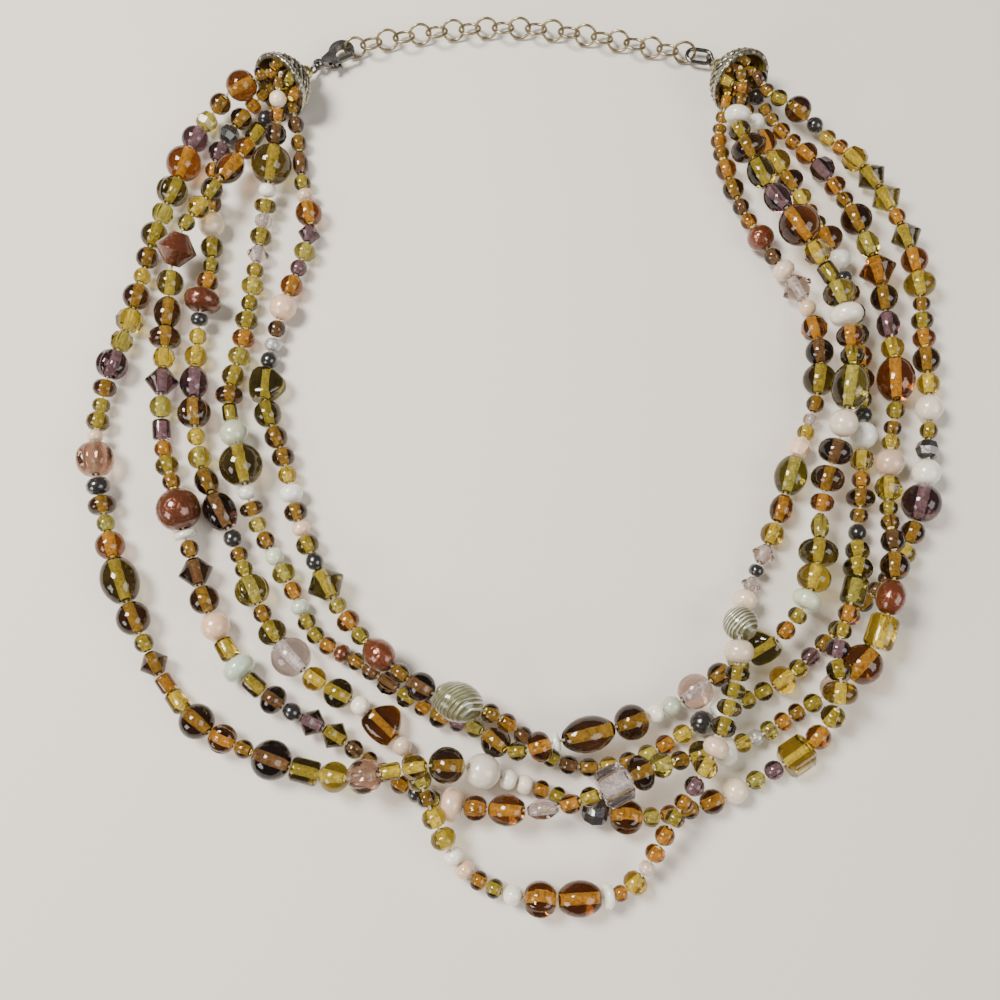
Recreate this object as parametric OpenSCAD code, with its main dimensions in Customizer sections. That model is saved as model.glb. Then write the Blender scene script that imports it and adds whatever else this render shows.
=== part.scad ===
// Multi strand necklace: five beaded threads between two end cones,
// closed at the back by an extender chain, a jump ring and a lobster clasp.
// Millimetres. It lies on a flat surface at z = 0, front strands towards -Y.

/* [Beads] */
// Diameter of a size 3 bead, the smallest seed beads
bead_3_d = 3.2; // [3:0.1:3.5]
// Diameter of a size 4 bead, the 6/0 seed beads
bead_4_d = 4; // [3.7:0.1:4.2]
// Diameter of a size 5 bead
bead_5_d = 4.9; // [4.5:0.1:5.1]
// Diameter of a size 6 bead
bead_6_d = 5.8; // [5.4:0.1:6]
// Diameter of a size 7 bead
bead_7_d = 6.8; // [6.4:0.1:7]
// Diameter of a size 8 bead
bead_8_d = 7.6; // [7.2:0.1:7.8]
// Diameter of a size 9 bead, the largest ones
bead_9_d = 8.8; // [8.4:0.1:9]
// Hole drilled through each bead
bead_bore_d = 1.1; // [1:0.05:1.3]
// Play along the thread between two beads
bead_play = 0.45; // [0.4:0.05:0.5]

/* [Threads] */
// Diameter of each thread
thread_d = 0.5; // [0.3:0.05:0.6]

/* [End cones] */
// Outer diameter of a cone's mouth
cone_mouth_d = 13.6; // [13:0.1:14]
// Outer diameter of a cone's narrow end
cone_apex_d = 3.8; // [3.4:0.1:4.4]
// Length of a cone from its mouth to its narrow end
cone_l = 7; // [6.5:0.1:7.4]
// Wall of a cone
cone_wall = 0.8; // [0.6:0.05:1]
// Number of raised ribs round a cone
cone_ribs = 12; // [8:1:16]
// How far a rib and the rolled rim stand out
relief_h = 0.3; // [0.2:0.05:0.4]

/* [Pins and cap beads] */
// Wire of the pin that goes through each cone
pin_d = 0.7; // [0.6:0.05:0.8]
// Room round the pin in the cone and in the cap bead
pin_play = 0.15; // [0.1:0.05:0.2]
// Outer diameter of the loop at the pin's end
loop_d = 3; // [2.9:0.1:3.2]
// Wire of that loop
loop_wire_d = 0.6; // [0.5:0.05:0.65]
// Knot that ties the threads to the pin inside the cone
knot_d = 1.8; // [1.6:0.1:2]
// Metal bead at the cone's narrow end
cap_bead_d = 3.2; // [3:0.1:3.4]

/* [Clasp] */
// Outer diameter of the clasp's hook
hook_d = 5.8; // [5.6:0.1:5.9]
// Hole of the hook
hook_hole_d = 3.2; // [3.1:0.05:3.3]
// Distance from the clasp's eye to the middle of its hook
clasp_reach = 5.7; // [5.6:0.1:5.9]
// Thickness of the clasp
clasp_t = 1.8; // [1.7:0.05:1.9]
// Outer diameter of the clasp's eye
eye_d = 2.4; // [2.2:0.1:2.5]
// Hole of the clasp's eye
eye_hole_d = 1.3; // [1.2:0.05:1.35]
// Thickness of the clasp's eye
eye_t = 0.8; // [0.7:0.05:0.9]
// Thickness of the lever that closes the hook
lever_t = 0.8; // [0.7:0.05:0.9]
// Width of the lever's arm
lever_w = 0.8; // [0.7:0.05:0.9]
// Length of the lever from its pivot to its tip
lever_l = 4.2; // [4.1:0.05:4.3]
// Pin that the lever turns on
pivot_d = 0.6; // [0.5:0.05:0.65]
// Room between the lever and the clasp
lever_play = 0.12; // [0.1:0.01:0.15]

/* [Chain] */
// Outer diameter of a chain link
link_d = 5.2; // [5.1:0.05:5.3]
// Wire of a chain link
link_wire_d = 0.6; // [0.5:0.05:0.65]
// How far the standing links lean up from the surface, in degrees
link_lean = 64; // [60:1:68]

/* [Jump ring] */
// Length of the oval jump ring
jump_l = 6.4; // [6.2:0.1:6.6]
// Width of the oval jump ring
jump_w = 4.2; // [4:0.1:4.4]
// Wire of the jump ring
jump_wire_d = 0.9; // [0.8:0.05:0.95]

/* [Hidden] */
$fn = 48;
thread_sides = 6;
thread_r = thread_d / 2;
bore_r = bead_bore_d / 2;

// Sizes of the stringing charts: digit, diameter
SIZES = [
    ["3", bead_3_d], ["4", bead_4_d], ["5", bead_5_d], ["6", bead_6_d],
    ["7", bead_7_d], ["8", bead_8_d], ["9", bead_9_d]
];

// Forms of the stringing charts: letter, length, end face and height as shares of the diameter,
// profile
FORMS = [
    ["r", 0.92, 0.40, 1.0, "arc"],    // round
    ["o", 1.15, 0.45, 1.0, "arc"],    // barrel
    ["l", 1.50, 0.36, 1.0, "arc"],    // long spindle
    ["m", 0.85, 0.50, 1.0, "melon"],  // ribbed melon
    ["f", 0.85, 0.50, 1.0, "facet"],  // faceted round
    ["b", 0.80, 0.38, 1.0, "cone"],   // bicone
    ["c", 1.10, 0.80, 1.0, "tube"],   // cylinder
    ["s", 0.75, 0.00, 1.0, "ring"],   // seed
    ["d", 0.60, 0.00, 1.0, "ring"],   // rondelle
    ["w", 0.35, 0.00, 1.0, "ring"],   // washer
    ["k", 0.85, 0.00, 0.9, "cube"],   // cube
    ["h", 0.90, 0.00, 0.6, "heart"]   // pillow with three corners
];

// Colours of the stringing charts: letter, red, green, blue
COLOURS = [
    ["a", 0.72, 0.36, 0.08], ["y", 0.86, 0.68, 0.20], ["g", 0.66, 0.68, 0.26],
    ["o", 0.42, 0.38, 0.12], ["n", 0.40, 0.22, 0.10], ["d", 0.20, 0.10, 0.08],
    ["k", 0.06, 0.06, 0.07], ["u", 0.34, 0.20, 0.30], ["l", 0.70, 0.60, 0.68],
    ["c", 0.84, 0.76, 0.68], ["w", 0.93, 0.92, 0.88], ["p", 0.92, 0.88, 0.82],
    ["e", 0.92, 0.82, 0.70], ["r", 0.62, 0.22, 0.08], ["m", 0.72, 0.84, 0.70],
    ["s", 0.66, 0.66, 0.64], ["x", 0.50, 0.56, 0.34]
];

// The smallest size that is a solid here: threads run bare where finer seed beads sit
smallest_solid = "5";

// Stringing charts from the left cone to the right one. Each word is form, colour, size.
CHARTS = [
    str(
        "dn4 ra7 rn5 fg5 ru6 ra8 mo7 fg5 ro6 rn5 ry4 rn6 fy6 fg5 mu7 sn5 so4 so5 sc3 mc8 sk5 dn6 ",
        "rg4 ra6 oo8 rn7 ro4 bn6 ca3 cy4 rn7 ma6 rn4 rd8 co5 ry6 mc7 cy3 ry5 rn7 rw7 sw4 ",
        "sw4 sa4 so4 sn4 fk6 ma7 sg4 ra4 rn4 ra5 rp5 rg4 ru4 ky7 ra5 so5 dy7 so5 su5 so4 ",
        "ra4 cg5 do6 so5 rk4 sn4 dn6 ra4 fy5 rw6 sk4 ro4 rn5 ra5 ro5 rn5 sa5 sk4 sw6 sa7 ",
        "so4 sa4 sy5 sn6 ry6 fa6 sw5 dn3 "
    ),
    str(
        "sn3 rk4 co4 ra5 la6 ro5 ry5 ro4 br9 ro6 on6 dn7 fy5 bu7 rg5 cu4 ra4 so5 rn4 rr9 ",
        "ww5 rn4 bd7 rn6 re6 cy4 dm7 co4 sd6 rk4 bu6 bo6 rd4 sn4 rn4 ra4 sk4 so4 de7 ma5 ",
        "oa6 ll4 ra4 ry4 kc7 dn7 sg5 rn4 so6 dw7 sy4 ss3 sg4 sa4 sn4 ro4 rl6 ra8 cy6 or6 ",
        "rn6 rd5 sn4 so4 fy6 re6 sy4 sn4 ro4 oa8 ry5 ou5 rn6 ba8 og5 rn7 rn4 sa5 fu6 ra5 ",
        "sa4 ra4 sn3 "
    ),
    str(
        "sn3 sa4 rn5 fk5 ru5 ra4 rd4 rn5 rp6 ro5 ro4 sa5 dr8 sk4 ry4 ry5 ou6 mn7 ry4 rg5 ",
        "on5 od7 rk4 sn4 so4 mg7 rn4 so6 rl8 ry5 ro6 rw4 ha8 rc4 sn4 sg5 sn4 sy5 sy5 ",
        "sw4 se4 sa4 so4 rw4 ma7 oa7 ww5 sa3 sy5 sc3 sa4 ra4 so4 sa4 ru4 sy5 sc5 so5 ",
        "do5 do5 do5 sp6 rx7 sp5 bl4 sk3 bl5 ry5 oa5 og7 fc5 sy4 sl3 rn4 ro7 rd6 fa6 ",
        "rc4 bl7 sc5 rd4 rr6 ra4 rd4 rn5 ra5 sn4 sa4 dn3 "
    ),
    str(
        "dn4 rp4 sa4 rd5 ro9 sw4 do5 sl4 so5 bl5 so4 sg5 ro4 so5 sa5 sg5 ro5 dn6 co3 rm6 ",
        "ro9 sw4 dn5 sg4 rn4 rm4 sg5 ra4 sm4 so4 so4 sa4 sr4 sn4 rd4 fd5 so5 sa4 sn5 ",
        "su4 rg4 rn6 ro4 sa6 ww4 ln7 rn7 sw4 rm4 rl7 rn5 sg5 ho7 ra4 so4 dm6 sy7 do8 ",
        "lg4 sa5 sn7 sd7 rp6 ox8 so5 sa6 dw7 sg7 co4 fy6 ra9 ou6 oo6 dn8 so5 dw6 sn4 da4 "
    ),
    str(
        "sn3 rd4 rn4 ld4 ro4 se4 ra6 bu5 sg5 ru4 ra5 re6 rd4 ss4 rk4 ho8 ro6 rn5 sn5 ry4 sw5 ",
        "sn5 se4 so5 rk4 bo8 sg4 sa5 ro4 or6 rn4 rd6 ox8 sn4 ra4 rd4 so4 so4 rd4 ",
        "rn4 ry4 rn4 rg4 ra4 ry4 rk5 cw5 so4 ro4 sy6 so4 ru4 rn4 ro4 ra4 rn4 sd4 ",
        "sd4 sa3 sy5 rn5 ru8 rw6 fk5 ro4 rp6 ry5 rn6 sa5 so5 sn4 sy7 ra6 bo7 ra4 by7 bo7 ",
        "fy6 sa4 ry4 rk4 rn6 ro4 "
    )
];

// Routes of the threads from cone to cone, chosen by hand: x, y and the height under the beads
ROUTES = [
    [
        [-53.2, 76.7, 5.5], [-56, 75, 5], [-60.5, 73, 4], [-65, 71, 0.5], [-68.5, 65, 0], [-71.5, 54, 0],
        [-76, 41, 0], [-79.5, 21, 0], [-83.5, 5, 0], [-83.5, -8, 0], [-80.5, -21, 0],
        [-75.5, -35, 0], [-68, -50, 0], [-59, -60.5, 0], [-46, -66.5, 0], [-37, -69.3, 0.5],
        [-29, -70.2, 4], [-23, -69, 6], [-17, -68, 7], [-10.4, -67.6, 4.7], [-3.4, -69.7, 0.5],
        [6, -72.5, 0], [14, -76, 0], [24, -77, 0], [34, -75, 0], [44, -70.5, 0],
        [53, -65.5, 0], [57.5, -61.5, 0.7], [59.6, -55.5, 5.2], [59.6, -48, 4.9], [62, -41, 5],
        [65, -33.5, 3.5], [67, -24, 0], [68.5, -14, 0], [69.6, -4, 0], [70.8, 6, 0],
        [70.8, 16, 0], [70, 26, 0], [67.5, 35, 0], [64.5, 43, 0], [60, 52, 0],
        [54.5, 62, 0], [51.8, 67.5, 1.5], [49, 73.5, 2.2]
    ],
    [
        [-50.8, 72.5, 2], [-53.2, 70.8, 0.8], [-56.4, 65, 0], [-58.5, 59.5, 1], [-60.7, 53, 4.5], [-64, 47, 5.5],
        [-68.5, 39, 4.2], [-71.5, 29, 0], [-71.5, 12, 0], [-71, -4, 0], [-67.3, -14.5, 0],
        [-63.3, -27, 0], [-58, -41, 0], [-50.5, -52, 0], [-41, -58.5, 0], [-34, -62, 0],
        [-27, -67.2, 0], [-20, -72, 0], [-12, -74.7, 0], [-2, -75.7, 2.5], [6, -75.5, 5.5],
        [14, -73, 6], [22, -69.2, 4.8], [27, -67.5, 4.2], [32, -66.5, 1], [39, -64.7, 0],
        [46, -62.1, 0], [52, -58.5, 0], [58, -55, 0], [65.5, -49.3, 2.2], [69, -42, 4.5],
        [71.8, -33, 5], [72.7, -24.5, 3], [73.5, -16, 0.5], [75.1, -6, 0], [76.8, 3, 0],
        [77.3, 12, 0], [77, 22, 0], [75.5, 33, 0], [72.5, 44, 0], [68, 54, 0],
        [62, 62, 0], [57.3, 67, 1], [54.5, 71.5, 1.6], [51.8, 75.3, 2.6]
    ],
    [
        [-53.8, 75.4, 2.5], [-56.5, 72.9, 0.7], [-58.5, 70.7, 0], [-61.3, 66.5, 0], [-64, 60, 0], [-65, 53, 0], [-64, 44, 0],
        [-63.5, 33, 0], [-65, 20, 0], [-65, 6, 0], [-62.5, -10, 0], [-56.8, -21, 0],
        [-51, -34.5, 0], [-45.5, -44.5, 0], [-38.7, -51.5, 0], [-30, -56.3, 0], [-24.3, -60.2, 0],
        [-20.3, -65.7, 0.3], [-17.3, -71, 3.9], [-15.3, -76, 4.2], [-12, -83, 1.5], [-7, -88, 0],
        [2, -91, 0], [12, -90.9, 0], [20.8, -89.2, 0], [26.5, -80, 4.8], [31, -73, 5.3],
        [36, -65, 6], [39, -57.5, 5.7], [41, -50, 5.9], [41.5, -44.5, 4.8], [43, -39, 1.5], [44.5, -36, 0],
        [47.5, -29.5, 0], [52, -20, 0], [55, -10, 0], [60, 1, 0], [62.5, 14, 0],
        [60, 26, 0], [55, 35, 0], [50, 44, 0], [46, 55, 0], [44.3, 64, 0.5],
        [45, 68, 1.4], [46.2, 73.4, 3.6]
    ],
    [
        [-49.8, 75.1, 8], [-50.6, 72.8, 6.2], [-50.4, 68, 4.3], [-51.5, 58, 0], [-53, 46, 0], [-54.5, 31, 0],
        [-56, 16, 0], [-57.9, 4, 0], [-54, -10, 0], [-51, -21, 0], [-44, -33, 0],
        [-38.5, -43.5, 0], [-31, -48, 0], [-22, -54, 0.8], [-14, -59, 0], [-7, -61, 0.5],
        [-1.2, -65.6, 3.6], [4.5, -64.3, 4.8], [12, -62.5, 4], [20, -60.5, 1], [30, -56.5, 0],
        [40, -50, 0], [44.8, -47.3, 0.3], [49.4, -44.6, 4], [55.5, -36.5, 3.8], [58.5, -26, 2], [60.5, -15, 2],
        [64.5, -2, 5], [67, 12, 5.7], [65.5, 25, 5.7], [60, 37, 5], [54.5, 47, 4.5],
        [50, 57, 4], [47, 65, 5], [48.6, 70.3, 6], [48.3, 76.5, 7.9]
    ],
    [
        [-48, 71.9, 3.6], [-47.6, 69.2, 2.2], [-46.7, 64, 0], [-45.5, 54, 0], [-43, 43, 0], [-46, 31, 0],
        [-49.5, 18, 0], [-50.7, 4, 0], [-46.5, -7, 0], [-43, -20, 0], [-38, -31, 0],
        [-32, -41, 1], [-24, -49.1, 4.2], [-18, -53.7, 4.8], [-12, -56.4, 5], [-5.5, -58, 3],
        [-0.8, -60.5, 0.2], [4, -64.5, 0], [9, -67.5, 0], [16, -68, 0], [24, -66, 0],
        [33, -60.9, 0], [43, -55.9, 0], [51, -51.8, 0], [59, -45, 0], [66.3, -38, 0],
        [74, -30.5, 0], [79, -20, 0], [82, -9, 0], [83.7, 3, 0], [84.2, 18, 0],
        [84, 33, 0], [81, 45, 0], [75.5, 56, 0], [67, 66, 0], [60.5, 69.5, 3.8],
        [55.6, 70.9, 5.9], [53.7, 73.3, 5.8], [51.8, 77.2, 6.2]
    ]
];

// Route of the chain from the clasp to the jump ring, chosen by hand: x, y
CHAIN_ROUTE = [
    [-35.2, 87.4], [-31, 88.7], [-24, 90.3], [-14, 91.9], [-2, 92.6], [8, 92], [17, 90.5],
    [25, 88.8], [32, 87.2], [37.9, 86.3]
];
chain_links = 21;

// Bodies of the beads end a little short of the pitch that the chart gives them
bead_trim = 0.15;

// Cones: place of the mouth on the surface, direction of the axis, dip towards the narrow end
LEFT_CONE = [-50.8, 74.4, 50];
RIGHT_CONE = [49.2, 75.4, 121];
cone_dip = 24;
rim_r = 0.5;
mouth_r = cone_mouth_d / 2;
apex_r = cone_apex_d / 2;
cone_z = (mouth_r + relief_h) * cos(cone_dip) + rim_r * sin(cone_dip);
// Outline of a cone from its mouth to its narrow end: shares of the flare and of the length
CONE_LINE = [[1, 0], [0.98, 0.16], [0.91, 0.34], [0.77, 0.52], [0.57, 0.7], [0.32, 0.87], [0, 1]];
pin_room_r = pin_d / 2 + pin_play;

// Distances along the axis of a cone, from its mouth
knot_t = cone_l - 1.9;
gather_t = cone_l - 2.9;
gather_r = 1.15;
cap_bead_h = 0.45 * cap_bead_d;
cap_bead_t = cone_l + pin_play + cap_bead_h;
loop_r = (loop_d - loop_wire_d) / 2;
loop_t = cap_bead_t + cap_bead_h + pin_play + loop_d / 2;

// Clasp: its eye is threaded on the left pin's loop
clasp_yaw = 26;
clasp_rise = 3;
hook_r = hook_d / 2;
hook_hole_r = hook_hole_d / 2;
PIVOT = [3.5, -1.5];
slot_h = lever_t + 2 * lever_play;

// Chain and jump ring
link_r = (link_d - link_wire_d) / 2;
link_z = link_r * sin(link_lean) + link_wire_d / 2;
// Centre of the jump ring from the middle of the right pin's loop, and its turn
JUMP_SHIFT = [-2.4, 1.15, -0.19];
jump_turn = -10;

function cone_axis(c) = [cos(c[2]) * cos(cone_dip), sin(c[2]) * cos(cone_dip), -sin(cone_dip)];
function on_axis(c, t) = [c[0], c[1], cone_z] + t * cone_axis(c);
function jump_centre() = on_axis(RIGHT_CONE, loop_t) + JUMP_SHIFT;
function eye_centre() = on_axis(LEFT_CONE, loop_t) + loop_r * [cos(LEFT_CONE[2]), sin(LEFT_CONE[2]), 0];

// Words of a stringing chart
function words(chart) = len(chart) / 4;
function form_at(chart, i) = chart[4 * (i % words(chart))];
function colour_at(chart, i) = chart[4 * (i % words(chart)) + 1];
function size_at(chart, i) = chart[4 * (i % words(chart)) + 2];
function row(table, letter) = table[search(letter, table)[0]];
function bead_d(chart, i) = row(SIZES, size_at(chart, i))[1];
function bead_l(chart, i) = bead_d(chart, i) * row(FORMS, form_at(chart, i))[1] - bead_trim;
function rise_r(chart, i) = bead_d(chart, i) / 2 * row(FORMS, form_at(chart, i))[3];

// A smooth line through the points of a route
function spline(a, b, c, d, t) =
    (2 * b + (c - a) * t + (2 * a - 5 * b + 4 * c - d) * t * t + (3 * b - 3 * c + d - a) * t * t * t) / 2;
function smooth(p) =
    let (n = len(p), q = concat([2 * p[0] - p[1]], p, [2 * p[n - 1] - p[n - 2]]))
    concat(
        [for (i = [0 : n - 2], k = [0 : 7]) spline(q[i], q[i + 1], q[i + 2], q[i + 3], k / 8)],
        [p[n - 1]]
    );
function flat(v) = norm([v[0], v[1]]);
// Lengths run along a line, seen from above
function run(q) =
    [for (i = 0, s = 0; i < len(q); s = s + (i < len(q) - 1 ? flat(q[i + 1] - q[i]) : 0), i = i + 1) s];
function column(q, s, k) = [for (i = [0 : len(q) - 1]) [s[i], q[i][k]]];

// Points between the beads of a strand: beads follow the chart until the route is full
function knots(chart, q) =
    let (
        run_q = run(q),
        total = run_q[len(run_q) - 1],
        e = [for (i = 0, s = 0; s <= total; s = s + bead_l(chart, i) + bead_play, i = i + 1) s],
        n = len(e) - 1,
        spare = (total - e[n]) / n,
        s = [for (j = [0 : n]) e[j] + j * spare],
        xs = column(q, run_q, 0),
        ys = column(q, run_q, 1),
        zs = column(q, run_q, 2)
    )
    [for (j = [0 : n]) [
        lookup(s[j], xs),
        lookup(s[j], ys),
        max(0, lookup(s[j], zs)) + max([for (m = [max(0, j - 9) : min(n - 1, j + 8)])
            rise_r(chart, m) - 0.25 * max(0, abs(s[j] - (s[m] + s[m + 1]) / 2) - (s[m + 1] - s[m]) / 2)])
    ]];
KNOTS = [for (k = [0 : 4]) knots(CHARTS[k], smooth(ROUTES[k]))];
function is_solid(chart, i) =
    size_at(chart, i) >= smallest_solid && !(size_at(chart, i) == "5" && form_at(chart, i) == "s");

module lathe_arc(r, end_r, h) {
    rho = ((r - end_r) * (r - end_r) + h * h) / (2 * (r - end_r));
    rotate_extrude()
        intersection() {
            translate([r - rho, 0])
                circle(r = rho);
            translate([bore_r, -h])
                square([r, 2 * h]);
        }
}

module lathe_ring(r, h) {
    rotate_extrude()
        intersection() {
            union() {
                translate([r - h, 0])
                    circle(r = h);
                if (r - h > bore_r)
                    translate([0, -h])
                        square([r - h, 2 * h]);
            }
            translate([bore_r, -h])
                square([r, 2 * h]);
        }
}

// A bead along Z, drilled for the thread
module bead(chart, i) {
    form = row(FORMS, form_at(chart, i));
    d = bead_d(chart, i);
    r = d / 2;
    h = bead_l(chart, i) / 2;
    e = form[2] * r;
    kind = form[4];
    if (kind == "arc")
        lathe_arc(r, e, h);
    if (kind == "ring")
        lathe_ring(r, h);
    if (kind == "tube")
        rotate_extrude()
            polygon([[bore_r, -h], [e, -h], [r, r - e - h], [r, h - r + e], [e, h], [bore_r, h]]);
    if (kind == "cone")
        rotate_extrude()
            polygon([[bore_r, -h], [e, -h], [r, 0], [e, h], [bore_r, h]]);
    if (kind == "facet")
        intersection() {
            lathe_arc(r, e, h);
            cylinder(h = 4 * h, r = 0.95 * r / cos(22.5), center = true, $fn = 8);
        }
    if (kind == "melon")
        difference() {
            lathe_arc(r, e, h);
            for (a = [0 : 45 : 315])
                rotate(a)
                    translate([1.06 * r, 0])
                        cylinder(h = 4 * h, r = 0.18 * r, center = true);
        }
    if (kind == "cube")
        difference() {
            intersection() {
                cube([0.9 * d, 0.9 * d, 2 * h], center = true);
                sphere(r = 0.64 * d);
            }
            cylinder(h = 4 * h, r = bore_r, center = true);
        }
    if (kind == "heart")
        difference() {
            intersection() {
                rotate([0, 90, 0])
                    linear_extrude(height = 0.6 * d, center = true)
                        intersection_for (a = [90, 210, 330])
                            translate([0.577 * 1.05 * d * cos(a), 0.577 * 1.05 * d * sin(a)])
                                circle(r = 1.05 * d);
                sphere(r = 0.55 * d);
                cube([d, 2 * d, 2 * h], center = true);
            }
            cylinder(h = 4 * h, r = bore_r, center = true);
        }
}

module torus(mean_r, wire_r) {
    rotate_extrude()
        translate([mean_r, 0])
            circle(r = wire_r);
}

// The solid beads of one strand
module strand(k) {
    chart = CHARTS[k];
    p = KNOTS[k];
    for (i = [0 : len(p) - 2])
        if (is_solid(chart, i)) {
            v = p[i + 1] - p[i];
            tint = row(COLOURS, colour_at(chart, i));
            color([tint[1], tint[2], tint[3]])
                translate((p[i] + p[i + 1]) / 2)
                    rotate([0, acos(v[2] / norm(v)), atan2(v[1], v[0])])
                        bead(chart, i);
        }
}

function unit(v) = v / norm(v);
// Where a thread ends inside a cone, beside the knot
function gathered(c, p) =
    let (g = on_axis(c, gather_t), a = cone_axis(c), d = p - g)
    g + gather_r * unit(d - (d * a) * a);
function thread_line(k) =
    let (p = KNOTS[k])
    concat([gathered(LEFT_CONE, p[0])], p, [gathered(RIGHT_CONE, p[len(p) - 1])]);
function ring(q, j) =
    let (
        n = len(q) - 1,
        a = unit(unit(q[min(n, j + 1)] - q[max(0, j)] + (j == n ? q[n] - q[n - 1] : [0, 0, 0]))
            + unit(q[j] - q[max(0, j - 1)] + (j == 0 ? q[1] - q[0] : [0, 0, 0]))),
        u = unit(cross(a, [0, 0, 1])),
        v = cross(a, u)
    )
    [for (s = [0 : thread_sides - 1])
        q[j] + thread_r * (cos(360 * s / thread_sides) * u + sin(360 * s / thread_sides) * v)];

// One thread from inside the left cone, through the beads, to inside the right cone
module thread(k) {
    q = thread_line(k);
    n = len(q);
    m = thread_sides;
    color([0.85, 0.83, 0.78])
        polyhedron(
            points = [for (j = [0 : n - 1]) each ring(q, j)],
            faces = concat(
                [[for (s = [0 : m - 1]) s]],
                [for (j = [0 : n - 2], s = [0 : m - 1])
                    [j * m + s, (j + 1) * m + s, (j + 1) * m + (s + 1) % m, j * m + (s + 1) % m]],
                [[for (s = [m - 1 : -1 : 0]) (n - 1) * m + s]]
            )
        );
}

// Puts a thing built along Z on the axis of a cone
module on_cone(c, t = 0) {
    translate(on_axis(c, t))
        rotate([0, 90 + cone_dip, c[2]])
            children();
}

function cone_points() = [for (p = CONE_LINE) [apex_r + (mouth_r - apex_r) * p[0], cone_l * p[1]]];
// The outline moved outwards by d
function cone_line(d) =
    let (p = cone_points(), n = len(p) - 1)
    [for (i = [0 : n])
        let (v = p[min(n, i + 1)] - p[max(0, i - 1)], w = norm(v))
        p[i] + d * [v[1] / w, -v[0] / w]];

module cone() {
    outer = cone_line(0);
    inner = cone_line(-cone_wall);
    raised = cone_line(relief_h);
    sunk = cone_line(-cone_wall / 2);
    n = len(outer) - 1;
    color([0.62, 0.61, 0.55]) {
        rotate_extrude()
            polygon(concat(
                outer,
                [[pin_room_r, cone_l], [pin_room_r, cone_l - cone_wall]],
                [for (i = [n - 1 : -1 : 1]) inner[i]],
                [[mouth_r - cone_wall, 0]]
            ));
        rotate_extrude()
            translate([mouth_r + relief_h - rim_r, rim_r])
                circle(r = rim_r);
        intersection() {
            rotate_extrude()
                polygon(concat([for (i = [1 : n - 1]) raised[i]], [for (i = [n - 1 : -1 : 1]) sunk[i]]));
            for (i = [0 : cone_ribs - 1])
                rotate([0, 0, i * 360 / cone_ribs])
                    translate([mouth_r / 2, 0, cone_l / 2])
                        rotate([28, 0, 0])
                            cube([mouth_r + 2, 0.9, 2 * cone_l], center = true);
        }
    }
}

module cone_left() {
    on_cone(LEFT_CONE)
        cone();
}

module cone_right() {
    on_cone(RIGHT_CONE)
        cone();
}

module cap_bead(c) {
    color([0.70, 0.58, 0.28])
        on_cone(c, cap_bead_t)
            difference() {
                intersection() {
                    sphere(d = cap_bead_d);
                    cube([cap_bead_d, cap_bead_d, 2 * cap_bead_h], center = true);
                }
                cylinder(h = 2 * cap_bead_d, r = pin_room_r, center = true);
            }
}

module cap_bead_left() {
    cap_bead(LEFT_CONE);
}

module cap_bead_right() {
    cap_bead(RIGHT_CONE);
}

// Knot, shaft and loop of one pin
module eye_pin(c) {
    color([0.45, 0.44, 0.40])
        on_cone(c) {
            translate([0, 0, knot_t])
                sphere(d = knot_d);
            translate([0, 0, knot_t])
                cylinder(h = loop_t - loop_r - knot_t, d = pin_d);
            translate([0, 0, loop_t])
                rotate([90, 0, 0])
                    torus(loop_r, loop_wire_d / 2);
        }
}

module eye_pin_left() {
    eye_pin(LEFT_CONE);
}

module eye_pin_right() {
    eye_pin(RIGHT_CONE);
}

module at_clasp() {
    translate(eye_centre())
        rotate([0, -clasp_rise, clasp_yaw])
            children();
}

module slab(t) {
    linear_extrude(height = t, center = true)
        children();
}

module clasp_body() {
    color([0.36, 0.36, 0.37])
        at_clasp() {
            difference() {
                union() {
                    slab(eye_t)
                        circle(d = eye_d);
                    slab(eye_t)
                        translate([0.75, -0.5])
                            square([1, 1]);
                    slab(clasp_t)
                        polygon([[1, -0.6], [4.4, -1.9], [4.4, 1.9], [1, 0.6]]);
                    slab(clasp_t)
                        translate(PIVOT)
                            circle(r = 0.9);
                    slab(clasp_t)
                        translate([clasp_reach, 0])
                            circle(r = hook_r);
                }
                cylinder(h = 4, d = eye_hole_d, center = true);
                translate([clasp_reach, 0, 0])
                    cylinder(h = 4, r = hook_hole_r, center = true);
                // way of the lever through the hook
                intersection() {
                    translate([PIVOT[0], PIVOT[1], 0])
                        cylinder(h = 4, r = lever_l + lever_play, center = true);
                    translate([4.5, -4, -2])
                        cube([5, 4.4, 4]);
                }
                // slot between the cheeks
                translate([2, -4, -slot_h / 2])
                    cube([3, 3.38, slot_h]);
            }
            translate([PIVOT[0], PIVOT[1], 0])
                cylinder(h = slot_h + 0.2, d = pivot_d, center = true);
        }
}

module clasp_lever() {
    color([0.42, 0.42, 0.43])
        at_clasp()
            translate([PIVOT[0], PIVOT[1], 0])
                difference() {
                    union() {
                        slab(lever_t)
                            circle(r = 0.75);
                        slab(lever_t)
                            intersection() {
                                circle(r = lever_l);
                                translate([0, -lever_w / 2])
                                    square([lever_l, lever_w]);
                            }
                        slab(lever_t)
                            rotate(-135)
                                translate([0, -0.4])
                                    square([1.4, 0.8]);
                        slab(lever_t)
                            rotate(-135)
                                translate([1.4, 0])
                                    circle(r = 0.5);
                    }
                    cylinder(h = 4, d = pivot_d + 2 * lever_play, center = true);
                }
}

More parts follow.
